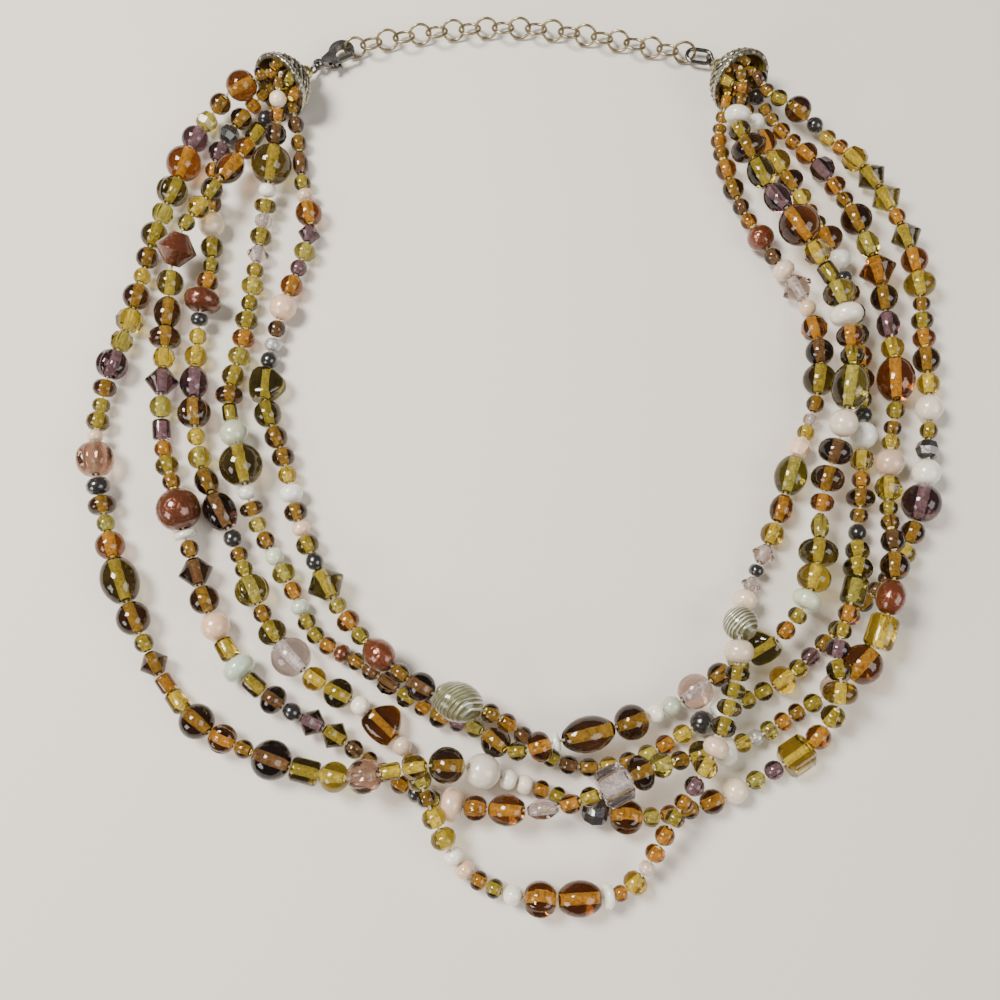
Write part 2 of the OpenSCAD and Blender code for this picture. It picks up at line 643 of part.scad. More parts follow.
module chain() {
    q = smooth(CHAIN_ROUTE);
    s = run(q);
    total = s[len(s) - 1];
    xs = column(q, s, 0);
    ys = column(q, s, 1);
    color([0.66, 0.60, 0.42])
        for (i = [0 : chain_links - 1]) {
            a = i * total / (chain_links - 1);
            yaw = atan2(lookup(a + 0.5, ys) - lookup(a - 0.5, ys), lookup(a + 0.5, xs) - lookup(a - 0.5, xs));
            translate([lookup(a, xs), lookup(a, ys), link_z])
                rotate([0, 0, yaw])
                    rotate([i % 2 == 0 ? link_lean : link_lean - 90, 0, 0])
                        torus(link_r, link_wire_d / 2);
        }
}

module jump_ring() {
    wire_r = jump_wire_d / 2;
    bend_r = jump_w / 2 - wire_r;
    half = jump_l / 2 - wire_r - bend_r;
    color([0.38, 0.37, 0.36])
        translate(jump_centre())
            rotate([0, 0, jump_turn]) {
                for (a = [0, 180])
                    rotate([0, 0, a]) {
                        translate([half, 0, 0])
                            rotate([0, 0, -90])
                                rotate_extrude(angle = 180)
                                    translate([bend_r, 0])
                                        circle(r = wire_r);
                        translate([-half, bend_r, 0])
                            rotate([0, 90, 0])
                                cylinder(h = 2 * half, r = wire_r);
                    }
            }
}

module strand_1() { strand(0); }
module strand_2() { strand(1); }
module strand_3() { strand(2); }
module strand_4() { strand(3); }
module strand_5() { strand(4); }
module thread_1() { thread(0); }
module thread_2() { thread(1); }
module thread_3() { thread(2); }
module thread_4() { thread(3); }
module thread_5() { thread(4); }

strand_1();
strand_2();
strand_3();
strand_4();
strand_5();
thread_1();
thread_2();
thread_3();
thread_4();
thread_5();
cone_left();
cone_right();
cap_bead_left();
cap_bead_right();
eye_pin_left();
eye_pin_right();
clasp_body();
clasp_lever();
chain();
jump_ring();
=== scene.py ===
"""Dresses the multi strand necklace: glass beads, antiqued cones, clasp, chain and thread."""

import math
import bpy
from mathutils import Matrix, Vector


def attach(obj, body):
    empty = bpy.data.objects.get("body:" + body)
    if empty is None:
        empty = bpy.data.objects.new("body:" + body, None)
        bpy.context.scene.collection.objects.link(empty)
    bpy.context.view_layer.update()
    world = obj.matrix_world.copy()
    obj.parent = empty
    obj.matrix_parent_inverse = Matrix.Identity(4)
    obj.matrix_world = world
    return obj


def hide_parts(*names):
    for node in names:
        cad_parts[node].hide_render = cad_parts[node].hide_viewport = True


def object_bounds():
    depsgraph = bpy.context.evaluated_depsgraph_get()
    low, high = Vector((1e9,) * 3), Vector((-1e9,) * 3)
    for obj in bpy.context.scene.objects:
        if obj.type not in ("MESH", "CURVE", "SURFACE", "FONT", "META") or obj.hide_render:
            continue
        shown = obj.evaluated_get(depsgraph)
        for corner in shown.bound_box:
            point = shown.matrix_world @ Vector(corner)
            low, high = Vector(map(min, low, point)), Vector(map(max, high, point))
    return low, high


bl_info = {
    "name": "Multi strand necklace",
    "version": (1, 0, 0),
    "blender": (4, 5, 0),
    "location": "3D View > Sidebar > Necklace",
    "description": "Strings five strands of glass beads on the packed frame, finishes the metal",
    "category": "Object",
}

import bmesh
import bpy
from bpy.props import FloatProperty, FloatVectorProperty, PointerProperty
from mathutils import Matrix, Vector

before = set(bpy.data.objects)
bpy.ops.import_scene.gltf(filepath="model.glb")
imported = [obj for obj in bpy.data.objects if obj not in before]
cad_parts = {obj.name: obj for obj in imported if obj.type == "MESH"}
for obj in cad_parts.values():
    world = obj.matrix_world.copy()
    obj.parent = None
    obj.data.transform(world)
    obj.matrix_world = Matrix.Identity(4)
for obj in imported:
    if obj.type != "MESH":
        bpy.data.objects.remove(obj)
CAD_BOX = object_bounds()
MM = 0.001

# Sizes, forms, charts and routes are those of the part's source, in millimetres. Four words of
# the charts have another colour letter here.

# Size digit: diameter
SIZES = {"3": 3.2, "4": 3.8, "5": 4.9, "6": 5.8, "7": 6.8, "8": 7.8, "9": 8.8}
# The least size that is modelled in more steps
LARGE = "6"
# Room between two beads, and what a bead's length is short of its form's
PLAY = 0.45
TRIM = 0.15

# Form letter: length, end face and height as shares of the diameter, profile
FORMS = {
    "r": (0.92, 0.40, 1.0, "arc"),
    "o": (1.15, 0.45, 1.0, "arc"),
    "l": (1.50, 0.36, 1.0, "arc"),
    "m": (0.85, 0.50, 1.0, "melon"),
    "f": (0.85, 0.50, 1.0, "facet"),
    "b": (0.80, 0.38, 1.0, "cone"),
    "c": (1.10, 0.80, 1.0, "tube"),
    "s": (0.75, 0.00, 1.0, "ring"),
    "d": (0.60, 0.00, 1.0, "ring"),
    "w": (0.35, 0.00, 1.0, "ring"),
    "k": (0.85, 0.00, 0.9, "cube"),
    "h": (0.90, 0.00, 0.6, "heart"),
}

# Colour letter: finish, colour of the body, colour of the painted glow in which the lined hole
# shows through it
COLOURS = {
    "a": ("glass", (0.125, 0.036, 0.004), (0.45, 0.195, 0.018)),
    "y": ("glass", (0.290, 0.195, 0.012), (0.56, 0.390, 0.040)),
    "g": ("glass", (0.200, 0.160, 0.020), (0.44, 0.355, 0.060)),
    "o": ("glass", (0.062, 0.042, 0.005), (0.36, 0.260, 0.026)),
    "n": ("glass", (0.040, 0.014, 0.004), (0.29, 0.150, 0.017)),
    "d": ("glass", (0.018, 0.007, 0.005), (0.17, 0.083, 0.028)),
    "u": ("glass", (0.048, 0.021, 0.025), (0.19, 0.105, 0.110)),
    "l": ("glass", (0.560, 0.450, 0.410), (0.46, 0.370, 0.330)),
    "v": ("glass", (0.360, 0.200, 0.135), (0.34, 0.195, 0.120)),
    "k": ("opaque", (0.012, 0.011, 0.012), (0.02, 0.02, 0.02)),
    "c": ("opaque", (0.74, 0.54, 0.38), (0.6, 0.5, 0.4)),
    "w": ("opaque", (0.80, 0.77, 0.68), (0.6, 0.6, 0.5)),
    "p": ("opaque", (0.76, 0.62, 0.46), (0.6, 0.5, 0.4)),
    "e": ("opaque", (0.74, 0.50, 0.34), (0.6, 0.5, 0.4)),
    "m": ("opaque", (0.54, 0.61, 0.44), (0.5, 0.5, 0.4)),
    "r": ("foil", (0.12, 0.028, 0.007), (0.2, 0.06, 0.02)),
    "s": ("foil", (0.50, 0.49, 0.47), (0.6, 0.6, 0.6)),
    "x": ("foil", (0.17, 0.16, 0.070), (0.3, 0.3, 0.15)),
}

# Strength of the painted glow that the lined holes give off, an emission that stands in for the
# light they would give back
PAINTED_LINING_GLOW = 2.5

# Stringing charts from the left cone to the right one. Each word is form, colour, size.
CHARTS = [
    (
        "dn4 ra7 rn5 fg5 ru6 ra8 mo7 fg5 ro6 rn5 ry4 rn6 fy6 fg5 mu7 sn5 so4 so5 sc3 mv8 sk5 dn6 "
        "rg4 ra6 oo8 rn7 ro4 bn6 ca3 cy4 rn7 ma6 rn4 rd8 co5 ry6 mv7 cy3 ry5 rn7 rw7 sw4 "
        "sw4 sa4 so4 sn4 fk6 ma7 sg4 ra4 rn4 ra5 rp5 rg4 ru4 ky7 ra5 so5 dy7 so5 su5 so4 "
        "ra4 cg5 do6 so5 rk4 sn4 dn6 ra4 fy5 rw6 sk4 ro4 rn5 ra5 ro5 rn5 sa5 sk4 sw6 sa7 "
        "so4 sa4 sy5 sn6 ry6 fa6 sw5 dn3 "
    ),
    (
        "sn3 rk4 co4 ra5 la6 ro5 ry5 ro4 br9 ro6 on6 dn7 fy5 bu7 rg5 cu4 ra4 so5 rn4 rr9 "
        "ww5 rn4 bd7 rn6 re6 cy4 dm7 co4 sd6 rk4 bu6 bo6 rd4 sn4 rn4 ra4 sk4 so4 de7 ma5 "
        "oa6 ll4 ra4 ry4 kl7 dn7 sg5 rn4 so6 dw7 sy4 ss3 sg4 sa4 sn4 ro4 rl6 ra8 cy6 or6 "
        "rn6 rd5 sn4 so4 fy6 re6 sy4 sn4 ro4 oa8 ry5 ou5 rn6 ba8 og5 rn7 rn4 sa5 fu6 ra5 "
        "sa4 ra4 sn3 "
    ),
    (
        "sn3 sa4 rn5 fk5 ru5 ra4 rd4 rn5 rp6 ro5 ro4 sa5 dr8 sk4 ry4 ry5 ou6 mn7 ry4 rg5 "
        "on5 od7 rk4 sn4 so4 mg7 rn4 so6 rl8 ry5 ro6 rw4 ha8 rc4 sn4 sg5 sn4 sy5 sy5 "
        "sw4 se4 sa4 so4 rw4 ma7 oa7 ww5 sa3 sy5 sc3 sa4 ra4 so4 sa4 ru4 sy5 sc5 so5 "
        "do5 do5 do5 sp6 rx7 sp5 bl4 sk3 bl5 ry5 oa5 og7 fc5 sy4 sl3 rn4 ro7 rd6 fa6 "
        "rc4 bl7 sc5 rd4 rr6 ra4 rd4 rn5 ra5 sn4 sa4 dn3 "
    ),
    (
        "dn4 rp4 sa4 rd5 ro9 sw4 do5 sl4 so5 bl5 so4 sg5 ro4 so5 sa5 sg5 ro5 dn6 co3 rm6 "
        "ro9 sw4 dn5 sg4 rn4 rm4 sg5 ra4 sm4 so4 so4 sa4 sr4 sn4 rd4 fd5 so5 sa4 sn5 "
        "su4 rg4 rn6 ro4 sa6 ww4 ln7 rn7 sw4 rm4 rl7 rn5 sg5 ho7 ra4 so4 dm6 sy7 do8 "
        "lg4 sa5 sn7 sd7 rp6 og8 so5 sa6 dw7 sg7 co4 fy6 ra9 ou6 oo6 dn8 so5 dw6 sn4 da4 "
    ),
    (
        "sn3 rd4 rn4 ld4 ro4 se4 ra6 bu5 sg5 ru4 ra5 re6 rd4 ss4 rk4 ho8 ro6 rn5 sn5 ry4 sw5 "
        "sn5 se4 so5 rk4 bo8 sg4 sa5 ro4 or6 rn4 rd6 ox8 sn4 ra4 rd4 so4 so4 rd4 "
        "rn4 ry4 rn4 rg4 ra4 ry4 rk5 cw5 so4 ro4 sy6 so4 ru4 rn4 ro4 ra4 rn4 sd4 "
        "sd4 sa3 sy5 rn5 ru8 rw6 fk5 ro4 rp6 ry5 rn6 sa5 so5 sn4 sy7 ra6 bo7 ra4 by7 bo7 "
        "fy6 sa4 ry4 rk4 rn6 ro4 "
    ),
]

# Routes of the threads from cone to cone: x, y and the height under the beads
ROUTES = [
    (
        (-53.2, 76.7, 5.5), (-56, 75, 5), (-60.5, 73, 4), (-65, 71, 0.5), (-68.5, 65, 0),
        (-71.5, 54, 0), (-76, 41, 0), (-79.5, 21, 0), (-83.5, 5, 0), (-83.5, -8, 0),
        (-80.5, -21, 0), (-75.5, -35, 0), (-68, -50, 0), (-59, -60.5, 0), (-46, -66.5, 0),
        (-37, -69.3, 0.5), (-29, -70.2, 4), (-23, -69, 6), (-17, -68, 7), (-10.4, -67.6, 4.7),
        (-3.4, -69.7, 0.5), (6, -72.5, 0), (14, -76, 0), (24, -77, 0), (34, -75, 0),
        (44, -70.5, 0), (53, -65.5, 0), (57.5, -61.5, 0.7), (59.6, -55.5, 5.2), (59.6, -48, 4.9),
        (62, -41, 5), (65, -33.5, 3.5), (67, -24, 0), (68.5, -14, 0), (69.6, -4, 0), (70.8, 6, 0),
        (70.8, 16, 0), (70, 26, 0), (67.5, 35, 0), (64.5, 43, 0), (60, 52, 0), (54.5, 62, 0),
        (51.8, 67.5, 1.5), (49, 73.5, 2.2)
    ),
    (
        (-50.8, 72.5, 2), (-53.2, 70.8, 0.8), (-56.4, 65, 0), (-58.5, 59.5, 1), (-60.7, 53, 4.5),
        (-64, 47, 5.5), (-68.5, 39, 4.2), (-71.5, 29, 0), (-71.5, 12, 0), (-71, -4, 0),
        (-67.3, -14.5, 0), (-63.3, -27, 0), (-58, -41, 0), (-50.5, -52, 0), (-41, -58.5, 0),
        (-34, -62, 0), (-27, -67.2, 0), (-20, -72, 0), (-12, -74.7, 0), (-2, -75.7, 2.5),
        (6, -75.5, 5.5), (14, -73, 6), (22, -69.2, 4.8), (27, -67.5, 4.2), (32, -66.5, 1),
        (39, -64.7, 0), (46, -62.1, 0), (52, -58.5, 0), (58, -55, 0), (65.5, -49.3, 2.2),
        (69, -42, 4.5), (71.8, -33, 5), (72.7, -24.5, 3), (73.5, -16, 0.5), (75.1, -6, 0),
        (76.8, 3, 0), (77.3, 12, 0), (77, 22, 0), (75.5, 33, 0), (72.5, 44, 0), (68, 54, 0),
        (62, 62, 0), (57.3, 67, 1), (54.5, 71.5, 1.6), (51.8, 75.3, 2.6)
    ),
    (
        (-53.8, 75.4, 2.5), (-56.5, 72.9, 0.7), (-58.5, 70.7, 0), (-61.3, 66.5, 0), (-64, 60, 0),
        (-65, 53, 0), (-64, 44, 0), (-63.5, 33, 0), (-65, 20, 0), (-65, 6, 0), (-62.5, -10, 0),
        (-56.8, -21, 0), (-51, -34.5, 0), (-45.5, -44.5, 0), (-38.7, -51.5, 0), (-30, -56.3, 0),
        (-24.3, -60.2, 0), (-20.3, -65.7, 0.3), (-17.3, -71, 3.9), (-15.3, -76, 4.2),
        (-12, -83, 1.5), (-7, -88, 0), (2, -91, 0), (12, -90.9, 0), (20.8, -89.2, 0),
        (26.5, -80, 4.8), (31, -73, 5.3), (36, -65, 6), (39, -57.5, 5.7), (41, -50, 5.9),
        (41.5, -44.5, 4.8), (43, -39, 1.5), (44.5, -36, 0), (47.5, -29.5, 0), (52, -20, 0),
        (55, -10, 0), (60, 1, 0), (62.5, 14, 0), (60, 26, 0), (55, 35, 0), (50, 44, 0),
        (46, 55, 0), (44.3, 64, 0.5), (45, 68, 1.4), (46.2, 73.4, 3.6)
    ),
    (
        (-49.8, 75.1, 8), (-50.6, 72.8, 6.2), (-50.4, 68, 4.3), (-51.5, 58, 0), (-53, 46, 0),
        (-54.5, 31, 0), (-56, 16, 0), (-57.9, 4, 0), (-54, -10, 0), (-51, -21, 0), (-44, -33, 0),
        (-38.5, -43.5, 0), (-31, -48, 0), (-22, -54, 0.8), (-14, -59, 0), (-7, -61, 0.5),
        (-1.2, -65.6, 3.6), (4.5, -64.3, 4.8), (12, -62.5, 4), (20, -60.5, 1), (30, -56.5, 0),
        (40, -50, 0), (44.8, -47.3, 0.3), (49.4, -44.6, 4), (55.5, -36.5, 3.8), (58.5, -26, 2),
        (60.5, -15, 2), (64.5, -2, 5), (67, 12, 5.7), (65.5, 25, 5.7), (60, 37, 5),
        (54.5, 47, 4.5), (50, 57, 4), (47, 65, 5), (48.6, 70.3, 6), (48.3, 76.5, 7.9)
    ),
    (
        (-48, 71.9, 3.6), (-47.6, 69.2, 2.2), (-46.7, 64, 0), (-45.5, 54, 0), (-43, 43, 0),
        (-46, 31, 0), (-49.5, 18, 0), (-50.7, 4, 0), (-46.5, -7, 0), (-43, -20, 0), (-38, -31, 0),
        (-32, -41, 1), (-24, -49.1, 4.2), (-18, -53.7, 4.8), (-12, -56.4, 5), (-5.5, -58, 3),
        (-0.8, -60.5, 0.2), (4, -64.5, 0), (9, -67.5, 0), (16, -68, 0), (24, -66, 0),
        (33, -60.9, 0), (43, -55.9, 0), (51, -51.8, 0), (59, -45, 0), (66.3, -38, 0),
        (74, -30.5, 0), (79, -20, 0), (82, -9, 0), (83.7, 3, 0), (84.2, 18, 0), (84, 33, 0),
        (81, 45, 0), (75.5, 56, 0), (67, 66, 0), (60.5, 69.5, 3.8), (55.6, 70.9, 5.9),
        (53.7, 73.3, 5.8), (51.8, 77.2, 6.2)
    )
]

# Points of the smooth line between two points of a route
ROUTE_STEPS = 8
# A bead lifts its neighbours, less by this slope the further they are, as far as this many beads
LIFT_SLOPE = 0.25
LIFT_REACH = 9

# Hole of a bead: radius, what each millimetre of the bead's size adds to it, lined share
HOLE_R = 0.62
HOLE_GROWTH = 0.015
LINED = 0.8
# Least glass round the hole at a bead's shoulder, at its end face and on a ring-shaped bead
SHOULDER_WALL = 0.12
END_WALL = 0.05
RING_WALL = 0.15
# Rounding of the end faces as a share of the radius, and its depth as a share of that
END_SOFT = 0.05
END_DEPTH = 0.6
# Rounded ends of a tube: shares of the radius, depths in widths of the rounding
TUBE_END = ((0.96, 0.7), (1.0, 1.4))
# Waist of a double cone: share of the radius, share of half the length
WAIST_R = 0.93
WAIST_H = 0.14
# Share of the radius at the ends of the drums that cubes and hearts are shaped from
DRUM_END = 0.78
# Steps along a bead and round it, by profile: large beads, small ones
STEPS = {
    "arc": ((10, 24), (6, 14)),
    "melon": ((10, 32), (6, 32)),
    "facet": ((4, 8), (4, 8)),
    "ring": ((8, 24), (5, 14)),
    "tube": ((6, 24), (6, 14)),
    "cone": ((6, 24), (6, 14)),
    "cube": ((8, 32), (8, 32)),
    "heart": ((8, 32), (8, 32)),
}
# Melon beads: lobes, how round they are, their depth as a share of the radius
MELON_LOBES = 8
MELON_ROUND = 0.6
MELON_DEPTH = 0.15
# Cube beads: half their width as a share of the radius, how square, ribs and their depth
CUBE_HALF = 0.9
CUBE_POWER = 5
CUBE_RIBS = 24
RIB_DEPTH = 0.03
# Heart beads, in diameters: radius of their three arcs, middle to base and to tip, radius that
# cuts the tip, half the thickness; how square the pillow is
HEART_ARC = 1.05
HEART_BASE = 0.303
HEART_TIP = 0.606
HEART_CUT = 0.55
HEART_HALF = 0.3
HEART_POWER = 0.75
# Thickness and width at the ends of their drum, as shares of what they are elsewhere
HEART_END = (0.72, 0.9)
# What the roots of their outline are taken of is at least this
HEART_LEAST = 0.01
# Edges stay sharp above these angles, in radians, on facetted beads and on all others
SHARP_FACET = 0.35
SHARP_BEAD = 0.75
# Points nearer than this are one, and points this near the hole's wall are on it
MERGE = 0.001
ON_WALL = 0.01

# Cones: place of the mouth on the surface, direction of the axis
CONES = {"left": (-50.8, 74.4, 50.0), "right": (49.2, 75.4, 121.0)}
CONE_DIP = 24.0
CONE_L = 7.0
MOUTH_R = 6.8
APEX_R = 1.9
CONE_WALL = 0.8
CONE_LINE = ((1, 0), (0.98, 0.16), (0.91, 0.34), (0.77, 0.52), (0.57, 0.7), (0.32, 0.87), (0, 1))
PIN_ROOM_R = 0.5
# What sets a cone's height over the surface: room for its relief, place of its rim
RELIEF = 0.3
REST_T = 0.5
# Steps along the wall and round it
CONE_ROWS = 44
CONE_SIDES = 192

# Cast ropes: how many, their slant round the wall, half their width as a share of a lane, how
# round they are, depth of their twist, its pace along the wall and across a lane
ROPES = 12
ROPE_SLANT = 1.21
ROPE_HALF = 0.17
ROPE_ROUND = 0.5
TWIST_DEPTH = 0.4
TWIST_PACE = (7.5, 9)
# Leaves between them: how many to a millimetre, their shift from lane to lane, half their width
# and that of their tips, how round they are
LEAVES_PER_MM = 0.62
LEAF_SHIFT = 0.37
LEAF_HALF = 0.26
LEAF_TIP = 0.02
LEAF_ROUND = 0.6
# Their veins: height, rise of the leaf beside them, how steep
VEIN_HEIGHT = 0.55
VEIN_RISE = 0.25
VEIN_SLOPE = 16
# Ropes and leaves: height, how deep their ground lies, length of their fading at the narrow end
CAST_HEIGHT = 0.48
CAST_SINK = 0.06
CAST_FADE = 1.2
# Beaded rim: half its width, its beads, their slant and the depth between them, the lift of all
# of it, the height of its beads
RIM_HALF = 0.55
RIM_BEADS = 44
RIM_SLANT = 5
RIM_DEPTH = 0.3
RIM_LIFT = 0.12
RIM_HEIGHT = 0.3
# Tarnish inside the cones and at the foot of the relief, and how fast height rubs it off
INNER_TARNISH = 0.3
FOOT_TARNISH = 1.25
RUBBED = 1.9

# Knot of the threads on the pin inside a cone: place along the axis, radius
KNOT_T = CONE_L - 2.9
KNOT_R = 1.15
# Room in front of the knot, and between the seed beads before it
KNOT_PLAY = 0.3
SEED_PLAY = 0.1
# Seed beads on the thread of each strand inside a mouth
MOUTH_SEEDS = ("da4 dd4 ra3", "rd4 da4 rn3", "rn4 dd4 dd3", "rd4 dn4 rn3", "rn4 dd4 rd3")
# Seed beads packed beside the threads: forms and colours, taken in turn
MOUTH_WORDS = ("ry", "ra", "rg", "rn", "ro")
# Their places: distance from the axis, first turn and step in degrees, count, depth, size
MOUTH_RINGS = (
    (4.1, 0, 24, 15, 0.5, "4"), (2.2, 20, 40, 9, 0.9, "4"), (0.0, 0, 0, 1, 0.8, "4"),
    (4.2, 108, 12, 13, 1.5, "3"), (3.6, 108, 12, 13, 2.4, "3"), (2.6, 108, 12, 13, 2.4, "3"),
)
# Distance they keep, as a share of two beads' radii, and how far their holes lean off the axis
MOUTH_CROWD = 0.62
MOUTH_LEAN = 0.3
# The strand, counted from 0, whose glass piece holds them
MOUTH_STRAND = 3

# What differs from bead to bead: start, range, number for chance()
SPREAD = {
    "turn": (0.0, 6.28, 3),
    "width": (1.0, -0.05, 5),
    "shade": (0.82, 0.36, 7),
    "warmth": (0.94, 0.12, 11),
    "glow": (0.85, 0.3, 13),
}

# Soft lights, aimed at the origin: place, side, share of the key light's power, colour
LAMPS = {
    "key": ((-0.30, 0.12, 0.52), 0.20, 1.0, (1, 0.95, 0.88)),
    "fill": ((0.50, -0.25, 0.50), 0.45, 0.45, (1, 0.98, 0.95)),
    "rim": ((-0.45, -0.35, 0.30), 0.25, 0.25, (1, 0.95, 0.9)),
}
ROOM_LIGHT = 0.2
# Half the side of the floor in metres, place and aim of the camera in millimetres
FLOOR_HALF = 3.0
CAMERA_PLACE = (-3, -72.94, 212.5)
CAMERA_AIM = (-3, -16, 0)


def smooth(p):
    """A smooth line through the points of a route."""
    p = [Vector(v) for v in p]
    q = [2 * p[0] - p[1]] + p + [2 * p[-1] - p[-2]]
    line = []
    for i in range(len(p) - 1):
        a, b, c, d = q[i:i + 4]
        for k in range(ROUTE_STEPS):
            t = k / ROUTE_STEPS
            line.append((2 * b + (c - a) * t + (2 * a - 5 * b + 4 * c - d) * t * t
                         + (3 * b - 3 * c + d - a) * t ** 3) / 2)
    return line + [p[-1]]


def look_up(s, runs, line):
    """The point of a line at the run length s."""
    for i in range(1, len(runs)):
        if s <= runs[i] or i == len(runs) - 1:
            share = (s - runs[i - 1]) / (runs[i] - runs[i - 1])
            return line[i - 1].lerp(line[i], min(1.0, max(0.0, share)))


def bead_d(word):
    """Diameter of a bead."""
    return SIZES[word[2]]


def bead_l(word):
    """Length of a bead along its hole."""
    return bead_d(word) * FORMS[word[0]][0] - TRIM


def string_up(k):
    """Words and knots of a strand: the beads follow the chart until the route is full."""
    line = smooth(ROUTES[k])
    runs = [0.0]
    for a, b in zip(line, line[1:]):
        runs.append(runs[-1] + (b.xy - a.xy).length)
    chart = CHARTS[k].split()
    words, ends = [], [0.0]
    while True:
        word = chart[len(words) % len(chart)]
        pitch = bead_l(word) + PLAY
        if ends[-1] + pitch > runs[-1]:
            break
        words.append(word)
        ends.append(ends[-1] + pitch)
    spare = (runs[-1] - ends[-1]) / len(words)
    s = [e + j * spare for j, e in enumerate(ends)]
    rise = [bead_d(w) / 2 * FORMS[w[0]][2] for w in words]
    knots = []
    for j, sj in enumerate(s):
        p = look_up(sj, runs, line)
        near = range(max(0, j - LIFT_REACH), min(len(words), j + LIFT_REACH))
        away = {m: abs(sj - (s[m] + s[m + 1]) / 2) - (s[m + 1] - s[m]) / 2 for m in near}
        height = max(rise[m] - LIFT_SLOPE * max(0.0, away[m]) for m in near)
        knots.append(Vector((p.x, p.y, max(0.0, p.z) + height)))
    return words, knots


def hole_r(word):
    """Radius of a bead's lined hole, wider on large beads."""
    return HOLE_R + HOLE_GROWTH * bead_d(word)


def steps(word):
    """Steps of a bead's outer line, and steps round the bead."""
    large, small = STEPS[FORMS[word[0]][3]]
    return large if word[2] >= LARGE else small


def bead_profile(word):
    """Points (radius, place along the hole) of a bead's outer line, from one end to the other."""
    _, end_share, _, kind = FORMS[word[0]]
    r = bead_d(word) / 2
    h = bead_l(word) / 2
    e = end_share * r
    n = steps(word)[0]
    if kind in ("arc", "melon", "facet"):
        rho = ((r - e) ** 2 + h * h) / (2 * (r - e))
        least = hole_r(word) + SHOULDER_WALL
        zs = [-h * math.cos(math.pi * i / n) for i in range(n + 1)]
        line = [(max(least, r - rho + math.sqrt(max(0.0, rho * rho - z * z))), z) for z in zs]
        soft = END_SOFT * r
        shoulder = line[0][0]
        end = max(hole_r(word) + END_WALL, shoulder - soft)
        rim = h - soft * END_DEPTH
        return [(end, -h), (shoulder, -rim)] + line[1:-1] + [(shoulder, rim), (end, h)]
    if kind == "ring":
        c = max(r - h, hole_r(word) + RING_WALL)
        turns = [math.pi * i / n for i in range(n + 1)]
        return [(c + (r - c) * math.sin(a), -h * math.cos(a)) for a in turns]
    if kind == "tube":
        half = [(e, h)] + [(share * r, h - depth * (r - e)) for share, depth in TUBE_END]
        return [(x, -z) for x, z in half] + [(r, 0.0)] + half[::-1]
    if kind == "cone":
        half = [(e, h), (e + 0.5 * (r - e), 0.5 * h), (WAIST_R * r, WAIST_H * h)]
        return [(x, -z) for x, z in half] + [(r, 0.0)] + half[::-1]
    return [(r * (DRUM_END if i in (0, n) else 1.0), h * (2 * i / n - 1)) for i in range(n + 1)]


def shape_wall(kind, word, hole, v):
    """Moves one point of a lathed bead to its place on a ribbed, square or pillow-shaped one."""
    d = bead_d(word)
    r = d / 2
    rho = math.hypot(v.co.x, v.co.y)
    if rho < hole + ON_WALL:
        return
    phi = math.atan2(v.co.y, v.co.x)
    if kind == "melon":
        lobe = abs(math.cos(MELON_LOBES / 2 * phi)) ** MELON_ROUND
        k = 1 - MELON_DEPTH * (1 - lobe) * min(1.0, (rho / r) ** 2)
        v.co.x *= k
        v.co.y *= k
    if kind == "cube":
        c, s = abs(math.cos(phi)), abs(math.sin(phi))
        k = CUBE_HALF / (c ** CUBE_POWER + s ** CUBE_POWER) ** (1 / CUBE_POWER)
        ribs = 1 - RIB_DEPTH * math.cos(CUBE_RIBS * phi) if word[1] == "l" else 1
        v.co.x *= k * ribs
        v.co.y *= k * ribs
    if kind == "heart":
        z = v.co.z
        arc = HEART_ARC * d
        far = math.sqrt(max(HEART_LEAST, arc ** 2 - (abs(z) + arc / 2) ** 2)) - HEART_BASE * d
        far = min(far, math.sqrt(max(HEART_LEAST, (HEART_CUT * d) ** 2 - z * z)))
        near = math.sqrt(arc ** 2 - z * z) - HEART_TIP * d
        side = far if math.sin(phi) > 0 else near
        thick, wide = HEART_END if rho < (1 + DRUM_END) / 2 * r else (1.0, 1.0)
        c = math.copysign(abs(math.cos(phi)) ** HEART_POWER, math.cos(phi))
        s = math.copysign(abs(math.sin(phi)) ** HEART_POWER, math.sin(phi))
        v.co.x = HEART_HALF * d * thick * c
        v.co.y = side * wide * s


def spin_loop(bm, loop, sides):
    """Turns a closed line of points (radius, place along the axis) round Z."""
    verts = [bm.verts.new((r, 0, z)) for r, z in loop]
    edges = [bm.edges.new((verts[i], verts[(i + 1) % len(verts)])) for i in range(len(verts))]
    bmesh.ops.spin(bm, geom=verts + edges, cent=(0, 0, 0), axis=(0, 0, 1), angle=2 * math.pi,
                   steps=sides, use_merge=True, use_duplicate=False)
    bmesh.ops.remove_doubles(bm, verts=bm.verts, dist=MERGE)


def as_piece(bm, name):
    """Makes an object of the scene from a finished bmesh."""
    mesh = bpy.data.meshes.new(name)
    bm.to_mesh(mesh)
    bm.free()
    piece = bpy.data.objects.new(name, mesh)
    bpy.context.scene.collection.objects.link(piece)
    return piece


